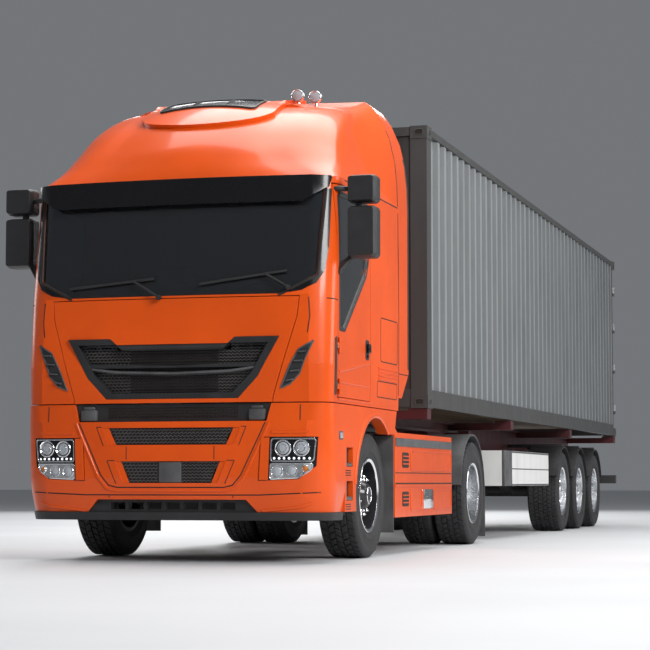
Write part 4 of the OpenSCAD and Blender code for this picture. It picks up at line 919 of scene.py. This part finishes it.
# Cab sides: outlines are (x from the front axle, height)
WINDOW = [(1.105, 1.785), (0.96, 1.785), (0.335, 2.26), (0.265, 2.38), (0.265, 2.825), (1.075, 2.825), (1.105, 2.79)]
ARCH = [(0.652 * math.cos(math.radians(a)), 0.505 + 0.652 * math.sin(math.radians(a))) for a in range(8, 166, 6)]
PILLAR_STRIP = [(1.185, 1.27), (1.235, 1.27), (1.235, 1.70), (1.185, 1.72)]
LOCKER_HATCH = rect(-0.14, -0.70, 1.60, 1.96, 0.03)
LOCKER_RECESS = rect(-0.04, -0.70, 1.305, 1.435, 0.02)
DEFLECTOR_EDGE = [(-1.112, 1.58), (-1.112, 2.90), (-1.112, 3.42)]
cab_side = Skin("cab_shell", "cab_front", "bumper", "side_panels", "cab_deflectors", "side_skirts")
arch_skin, deflector_skin = Skin("side_panels", "bumper"), Skin("cab_deflectors")
dark_lines, orange_lines, black_parts, grey_parts = meshes(4)
for _, s in SIDES:
    cast = on_side(cab_side, s)
    patch(black_parts, PILLAR_STRIP, cast, 0.003)
    lay(dark_lines, cast, [(1.30, 2.0), (1.165, 1.995)], SEAM_W, SEAM_RISE)
    lay(dark_lines, cast, closed(LOCKER_HATCH), SEAM_W, SEAM_RISE)
    for k in range(4):
        z = 1.455 + 0.030 * k
        lay(orange_lines, cast, [(-0.06, z), (-0.72, z)], 0.016, 0.007)
    lay(dark_lines, cast, closed(LOCKER_RECESS), 0.008, SEAM_RISE)
    lay(orange_lines, cast, [(1.12, 1.245), (0.16, 1.245)], 0.018, 0.005)
    lay(dark_lines, cast, [(-0.79, 1.53), (-1.10, 1.53)], SEAM_W, SEAM_RISE)
    lay(orange_lines, on_side(arch_skin, s), ARCH, 0.050, 0.009)
    lay(black_parts, on_side(deflector_skin, s), DEFLECTOR_EDGE, 0.034, 0.004)
    # Vent slots beside the steps, and tread plates in the step pockets
    for z in (0.665, 0.405):
        for k in range(3):
            lay(dark_lines, cast, [(0.93, z + 0.018 * k), (0.78, z + 0.018 * k)], 0.008, SEAM_RISE)
    for z in (0.470, 0.730):
        side_block(black_parts, s, (AXLE + 0.7155, AXLE + 0.8995), (1.1855, 1.204), (z + 0.0005, z + 0.1495), 0.004)
        side_block(grey_parts, s, (AXLE + 0.722, AXLE + 0.893), (1.190, 1.238), (z + 0.002, z + 0.024), 0.006)
        for k in range(6):
            x = AXLE + 0.735 + 0.029 * k
            side_block(grey_parts, s, (x, x + 0.012), (1.194, 1.234), (z + 0.022, z + 0.031), 0.003)
piece("side_dark_lines", dark_lines, SEAM)
piece("side_orange_lines", orange_lines, ORANGE, 40)
piece("side_black_trim", black_parts, BLACK, 40)
piece("step_treads", grey_parts, GREY_PLASTIC, 30)

# Doors: window rubber, pressed lines, handle in its recess, mirror glass
HANDLE_RECESS = rect(0.235, 0.345, 1.585, 1.745, 0.03)
MIRROR_HEIGHTS = ((2.345, 2.695), (2.768, 2.938))
for side_name, s in SIDES:
    body = f"cab_door_{side_name}"
    cast = on_side(Skin(f"door_{side_name}"), s)
    dark, paint_lines, handle, glass, edges = meshes(5)
    lay(dark, cast, closed(grow(WINDOW, 0.012)), 0.022, 0.004, 0.06)
    tube(dark, [Vector((AXLE + p.x, s * 1.224, p.y)) for p in along(closed(WINDOW), 0.06)], 0.016, 8)
    patch(dark, HANDLE_RECESS, cast, 0.003)
    piece(f"door_rubber_{side_name}", dark, BLACK, 40, body=body)
    lay(paint_lines, cast, [(1.12, 1.455), (0.60, 1.520), (0.22, 1.565)], 0.026, 0.006)
    lay(paint_lines, cast, [(1.12, 1.375), (0.22, 1.375)], 0.016, 0.004)
    piece(f"door_lines_{side_name}", paint_lines, ORANGE, 40, body=body)
    side_block(handle, s, (AXLE + 0.255, AXLE + 0.325), (1.249, 1.272), (1.640, 1.715), 0.012)
    side_block(handle, s, (AXLE + 0.270, AXLE + 0.310), (1.244, 1.256), (1.600, 1.626), 0.006)
    piece(f"door_handle_{side_name}", handle, GLOSS_BLACK, 30, body=body, slot="black_plastic")
    for low_z, high_z in MIRROR_HEIGHTS:
        outline = rect(1.328, 1.512, low_z, high_z, 0.03)
        prism(glass, outline, AXLE + 0.985, AXLE + 0.992, lambda u, v, d: Vector((d, s * u, v)))
        tube(edges, [Vector((AXLE + 0.988, s * p.x, p.y)) for p in closed(outline)], 0.007, 8)
    piece(f"mirror_glass_{side_name}", glass, MIRROR, body=body)
    piece(f"mirror_edge_{side_name}", edges, BLACK, 40, body=body)

# Side skirts: grey upper strip, slots, pressed panels, latch and light line
SKIRT_FRONT, SKIRT_REAR = -0.66, -2.825
skirt_skin = Skin("side_skirts")
strip, slots, panels, latch = meshes(4)
for s in (-1, 1):
    cast = on_side(skirt_skin, s)
    patch(strip, rect(SKIRT_FRONT, SKIRT_REAR, 0.915, 0.985), cast, 0.006, step=0.2)
    for low_z, high_z in ((0.735, 0.865), (0.405, 0.530)):
        patch(slots, rect(-0.90, -1.13, low_z, high_z, 0.03), cast, 0.003)
        for k in range(3):
            z = low_z + (high_z - low_z) * (k + 1) / 4
            lay(panels, cast, [(-0.915, z), (-1.115, z)], 0.012, 0.007)
    for x0, x1, z0, z1 in ((-1.20, -1.62, 0.37, 0.545), (-2.08, -2.80, 0.37, 0.545), (-1.20, -2.80, 0.715, 0.885)):
        lay(panels, cast, closed(rect(x0, x1, z0, z1, 0.03)), 0.016, 0.006)
    for bm, z, width, rise in ((slots, 0.600, 0.012, 0.002), (slots, 0.690, 0.008, 0.002),
                               (panels, 0.580, 0.020, 0.007)):
        lay(bm, cast, [(SKIRT_FRONT, z), (SKIRT_REAR, z)], width, rise, 0.2)
    side_block(latch, s, (AXLE - 2.03, AXLE - 1.68), (1.228, 1.247), (0.375, 0.550), 0.012)
    side_block(latch, s, (AXLE - 1.95, AXLE - 1.76), (1.240, 1.252), (0.440, 0.485), 0.008)
piece("skirt_strips", strip, GREY_PLASTIC)
piece("skirt_slots", slots, SEAM)
piece("skirt_lines", panels, ORANGE, 40)
piece("skirt_latches", latch, CHROME, 30)
soften("side_skirts")

# Rear of the tractor: lamps on the frame's end
frame_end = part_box("chassis_frame")[0].x
tail, tail_red = meshes(2)
for s in (-1, 1):
    side_block(tail, s, (frame_end - 0.012, frame_end + 0.004), (0.36, 0.50), (0.70, 0.80), 0.005)
    for k in range(3):
        lathe(tail_red, [(0.0, 0.0), (0.018, 0.0), (0.018, 0.006), (0.010, 0.010), (0.0, 0.011)],
              (frame_end - 0.011, s * (0.385 + 0.045 * k), 0.75), (-1, 0, 0), 20)
piece("tractor_tail_plates", tail, BLACK, 30)
piece("tractor_tail_lamps", tail_red, RED_LENS, 30)

# Trailer: ends and lines of the side lockers, tail lamps on the rear bumper
LOCKER_SIDE = max(abs(corner.y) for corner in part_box("toolboxes"))
LOCKER_FRONT, LOCKER_REAR = AXLE - 5.55, AXLE - 8.30
box_lines, box_ends = meshes(2)
for s in (-1, 1):
    side_block(box_ends, s, (LOCKER_FRONT - 0.42, LOCKER_FRONT + 0.003), (LOCKER_SIDE - 0.03, LOCKER_SIDE + 0.004),
               (0.568, 0.952), 0.006)
    for zs in ((0.750, 0.762), (0.572, 0.590), (0.930, 0.948)):
        side_block(box_lines, s, (LOCKER_REAR + 0.004, LOCKER_FRONT - 0.43),
                   (LOCKER_SIDE - 0.02, LOCKER_SIDE + 0.003), zs, 0.003)
piece("box_dark_ends", box_ends, GREY_PLASTIC, 30, body=TRAILER)
piece("box_lines", box_lines, GREY_PLASTIC, 30, body=TRAILER)
bar_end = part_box("rear_bumper")[0].x
LAMP_Z = 0.65
tail_case, tail_red, tail_amber, tail_white = meshes(4)
for s in (-1, 1):
    side_block(tail_case, s, (bar_end - 0.030, bar_end + 0.01), (0.70, 1.14), (0.600, 0.700), 0.010)
    for target, y in ((tail_red, 0.76), (tail_amber, 0.86), (tail_white, 0.96), (tail_red, 1.07)):
        lathe(target, [(0.0, -0.004), (0.040, -0.004), (0.040, 0.006), (0.034, 0.010), (0.018, 0.013), (0.0, 0.014)],
              (bar_end - 0.028, s * y, LAMP_Z), (-1, 0, 0), 32)
    for y in (0.76, 1.07):
        lathe(tail_case, [(0.036, 0.0), (0.044, 0.0), (0.044, 0.010), (0.040, 0.014), (0.036, 0.010)],
              (bar_end - 0.030, s * y, LAMP_Z), (-1, 0, 0), 32)
piece("tail_cases", tail_case, BLACK, 30, body=TRAILER)
piece("tail_red", tail_red, RED_LENS, 30, body=TRAILER)
piece("tail_amber", tail_amber, AMBER, 30, body=TRAILER)
piece("tail_white", tail_white, LENS, 30, body=TRAILER)

# Container: front wall in the frame's dark paint as painted shade, painted shade in a darker grey on the slopes of
# the waves, holes of the corner castings
walls = bmesh.new()
walls.from_mesh(NODES["container_panels"].data)
obj = piece("container_walls", walls, BOX_GREY, body=TRAILER, replace=["container_panels"])
obj.data.materials.append(BOX_DARK)
obj.data.materials.append(BOX_SLOPE_SHADE)
for face in obj.data.polygons:
    # Painted shade: the front wall takes the frame's dark paint
    if face.center.x > CONTAINER_HIGH.x - 0.10:
        face.material_index = 1
    # Painted shade: the sloped faces of the waves take a darker grey
    elif abs(face.normal.y) > 0.2 and abs(face.normal.x) > 0.2:
        face.material_index = 2
BOX_HALF = CONTAINER_HIGH.y
HOLE = rect(-0.040, 0.040, -0.026, 0.026, 0.025)
holes, hole_rims = meshes(2)


def casting_hole(centre, level, out):
    """Oval hole with a rim; level and out are the face's level direction and its normal."""
    def place(u, v, d):
        return centre + level * u + Vector((0, 0, v)) + out * d
    prism(holes, HOLE, -0.004, 0.0012, place)
    tube(hole_rims, [place(p.x, p.y, 0) for p in closed(HOLE)], 0.005, 6)


for x, end in ((CONTAINER_LOW.x, -1), (CONTAINER_HIGH.x, 1)):
    for s in (-1, 1):
        for z in (CONTAINER_LOW.z + 0.059, CONTAINER_HIGH.z - 0.059):
            casting_hole(Vector((x - end * 0.089, s * BOX_HALF, z)), Vector((1, 0, 0)), Vector((0, s, 0)))
            casting_hole(Vector((x, s * (BOX_HALF - 0.081), z)), Vector((0, 1, 0)), Vector((end, 0, 0)))
piece("casting_holes", holes, SEAM, body=TRAILER)
piece("casting_rims", hole_rims, BOX_DARK, 40, body=TRAILER)

# Rubber lip on the face of each door leaf, inside the ends of the lock rods
LIP_INSET = 0.018
LEAF_INNER, LEAF_OUTER = 0.006, BOX_HALF - 0.085
ROD_END = 0.060
for side_name, s in SIDES:
    node = f"container_door_{side_name}"
    low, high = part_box(node)
    y0, y1 = LEAF_INNER + LIP_INSET, LEAF_OUTER - LIP_INSET
    z0, z1 = low.z + ROD_END + LIP_INSET, high.z - ROD_END - LIP_INSET
    start = ((y0 + y1) / 2, z0)
    face, normal = Skin(node).cast((low.x - 1, s * start[0], z0), (1, 0, 0))
    edge = along(closed([start, (y1, z0), (y1, z1), (y0, z1), (y0, z0)]), 0.25)
    gasket = bmesh.new()
    ribbon(gasket, [(Vector((face.x, s * p.x, p.y)), normal) for p in edge], 0.022, 0.006)
    piece(f"door_gasket_{side_name}", gasket, BLACK, 40, body=node)


# Seats and bunk: padded forms on plain frames, in place of the seats' solids
def cushion(name, size, place, crown, channels):
    """Pad on its flat underside: crowned top, sides pulled in between the corners, sewn channels across it."""
    length, width, thick = size
    count = 28
    bm = bmesh.new()
    top, low = {}, {}
    for i in range(count + 1):
        for j in range(count + 1):
            u, v = 2 * i / count - 1, 2 * j / count - 1
            pull_u, pull_v = 1 - 0.035 * (1 - v * v), 1 - 0.03 * (1 - u * u)
            edge = ((1 - abs(u) ** 5) * (1 - abs(v) ** 5)) ** 0.4
            groove = 0.0
            for k in range(1, channels):
                groove += math.exp(-((u - (2 * k / channels - 1)) / 0.035) ** 2)
            z = thick * (0.45 + 0.55 * edge) + crown * (1 - u * u) * (1 - v * v) - 0.016 * groove * edge
            x, y = u * length / 2 * pull_u, v * width / 2 * pull_v
            top[i, j] = bm.verts.new(place @ Vector((x, y, z)))
            low[i, j] = bm.verts.new(place @ Vector((x * 0.985, y * 0.985, 0)))
    for i in range(count):
        for j in range(count):
            corners = ((i, j), (i + 1, j), (i + 1, j + 1), (i, j + 1))
            bm.faces.new([top[c] for c in corners])
            bm.faces.new([low[c] for c in reversed(corners)])
    rim = [(i, 0) for i in range(count)] + [(count, j) for j in range(count)]
    rim += [(i, count) for i in range(count, 0, -1)] + [(0, j) for j in range(count, 0, -1)]
    for a, b in zip(rim, rim[1:] + rim[:1]):
        bm.faces.new((top[b], top[a], low[a], low[b]))
    obj = piece(name, bm, CLOTH, 60)


def seat_matrix(x, y, z, tilt=0.0):
    return Matrix.Translation((AXLE + x, y, z)) @ Matrix.Rotation(math.radians(tilt), 4, "Y")


def backrest(s):
    """Foot of a backrest, leaning to the rear."""
    return seat_matrix(0.10, s * SEAT_Y, 1.66, -12)


SEAT_Y = 0.52
BELLOWS_LOW, BELLOWS_STEP = 1.335, 0.055
BACK_PLATE = ((-0.21, 0.0), (0.21, 0.0), (0.19, 0.72), (-0.19, 0.72))
frames = bmesh.new()
for s in (-1, 1):
    mid = s * SEAT_Y
    block(frames, (AXLE + 0.065, mid - 0.205, 1.277), (AXLE + 0.415, mid + 0.205, BELLOWS_LOW), 0.012)
    for k in range(4):
        z = BELLOWS_LOW + BELLOWS_STEP * k
        inset = 0.012 * (k % 2)
        block(frames, (AXLE + 0.085 + inset, mid - 0.185 + inset, z),
              (AXLE + 0.395 - inset, mid + 0.185 - inset, z + BELLOWS_STEP), 0.016)
    block(frames, (AXLE + 0.03, mid - 0.235, 1.555), (AXLE + 0.55, mid + 0.235, 1.612), 0.02)
    slab(frames, *([backrest(s) @ Vector((x, y, z)) for y, z in BACK_PLATE] for x in (0, -0.03)))
block(frames, (AXLE - 0.685, -1.145, 1.277), (AXLE - 0.065, 1.145, 1.54), 0.02)
piece("seat_frames", frames, TRIM, 30, replace=["seats"])
UPRIGHT = Matrix.Rotation(math.radians(90), 4, "Y")
for side_name, s in SIDES:
    cushion(f"seat_pad_{side_name}", (0.52, 0.49, 0.10), seat_matrix(0.29, s * SEAT_Y, 1.612), 0.025, 3)
    cushion(f"seat_back_{side_name}", (0.58, 0.45, 0.085), backrest(s) @ Matrix.Translation((0, 0, 0.32)) @ UPRIGHT,
            0.022, 4)
    cushion(f"seat_head_{side_name}", (0.15, 0.27, 0.07), backrest(s) @ Matrix.Translation((0, 0, 0.69)) @ UPRIGHT,
            0.015, 1)
cushion("bunk_pad", (0.61, 2.26, 0.10), seat_matrix(-0.375, 0, 1.54), 0.018, 2)

# Stage; the camera's place is from the middle of the front axle, angles in degrees, focal length in image pixels
IMAGE_PX = 650
CAMERA_FROM_AXLE = (16.02, 5.42, 0.616)
CAMERA_YAW = 196.06
CAMERA_PITCH = 4.40
CAMERA_FOCAL_PX = 2035
# Area lights: name, place, aim, size, power
LIGHTS = (("top_light", (2, 1, 13), (2, 0, 0), 12, 2500),
          ("front_light", (16, 13, 9), (6, 0, 1.6), 6, 2600),
          ("side_light", (-2, 17, 7), (-2, 0, 1.5), 9, 1250),
          ("right_light", (0, -17, 8), (0, 0, 1.5), 9, 900),
          ("rear_light", (-17, -6, 8), (-4, 0, 2), 9, 1500))


def stage():
    """Pale floor, soft light and the camera."""
    scene = bpy.context.scene
    scene.view_settings.view_transform = "Standard"
    floor_mesh = bpy.data.meshes.new("floor")
    bm = bmesh.new()
    bmesh.ops.create_grid(bm, x_segments=1, y_segments=1, size=120)
    bm.to_mesh(floor_mesh)
    bm.free()
    floor = bpy.data.objects.new("floor", floor_mesh)
    scene.collection.objects.link(floor)
    pale = shader("pale_floor", (0.56, 0.57, 0.58), 0.6)
    tones(pale, noise(pale, 0.4, 3), (0.54, 0.55, 0.56), (0.58, 0.59, 0.60))
    floor_mesh.materials.append(pale)
    floor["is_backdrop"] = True

    world = bpy.data.worlds.new("studio")
    scene.world = world
    world.use_nodes = True
    sky = world.node_tree.nodes["Background"]
    sky.inputs["Color"].default_value = (0.86, 0.90, 0.96, 1)
    sky.inputs["Strength"].default_value = 0.20
    for name, place, aim, size, power in LIGHTS:
        light = bpy.data.lights.new(name, "AREA")
        light.size = size
        light.energy = power
        obj = bpy.data.objects.new(name, light)
        obj.location = place
        obj.rotation_euler = (Vector(aim) - Vector(place)).to_track_quat("-Z", "Y").to_euler()
        scene.collection.objects.link(obj)

    camera = bpy.data.cameras.new("camera")
    camera.sensor_width = 36
    camera.lens = CAMERA_FOCAL_PX / IMAGE_PX * camera.sensor_width
    camera.clip_end = 200
    obj = bpy.data.objects.new("camera", camera)
    yaw, pitch = math.radians(CAMERA_YAW), math.radians(CAMERA_PITCH)
    look = Vector((math.cos(yaw) * math.cos(pitch), math.sin(yaw) * math.cos(pitch), math.sin(pitch)))
    obj.location = Vector((AXLE, 0, 0)) + Vector(CAMERA_FROM_AXLE)
    obj.rotation_euler = look.to_track_quat("-Z", "Y").to_euler()
    scene.collection.objects.link(obj)
    scene.camera = obj


stage()

low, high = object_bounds()
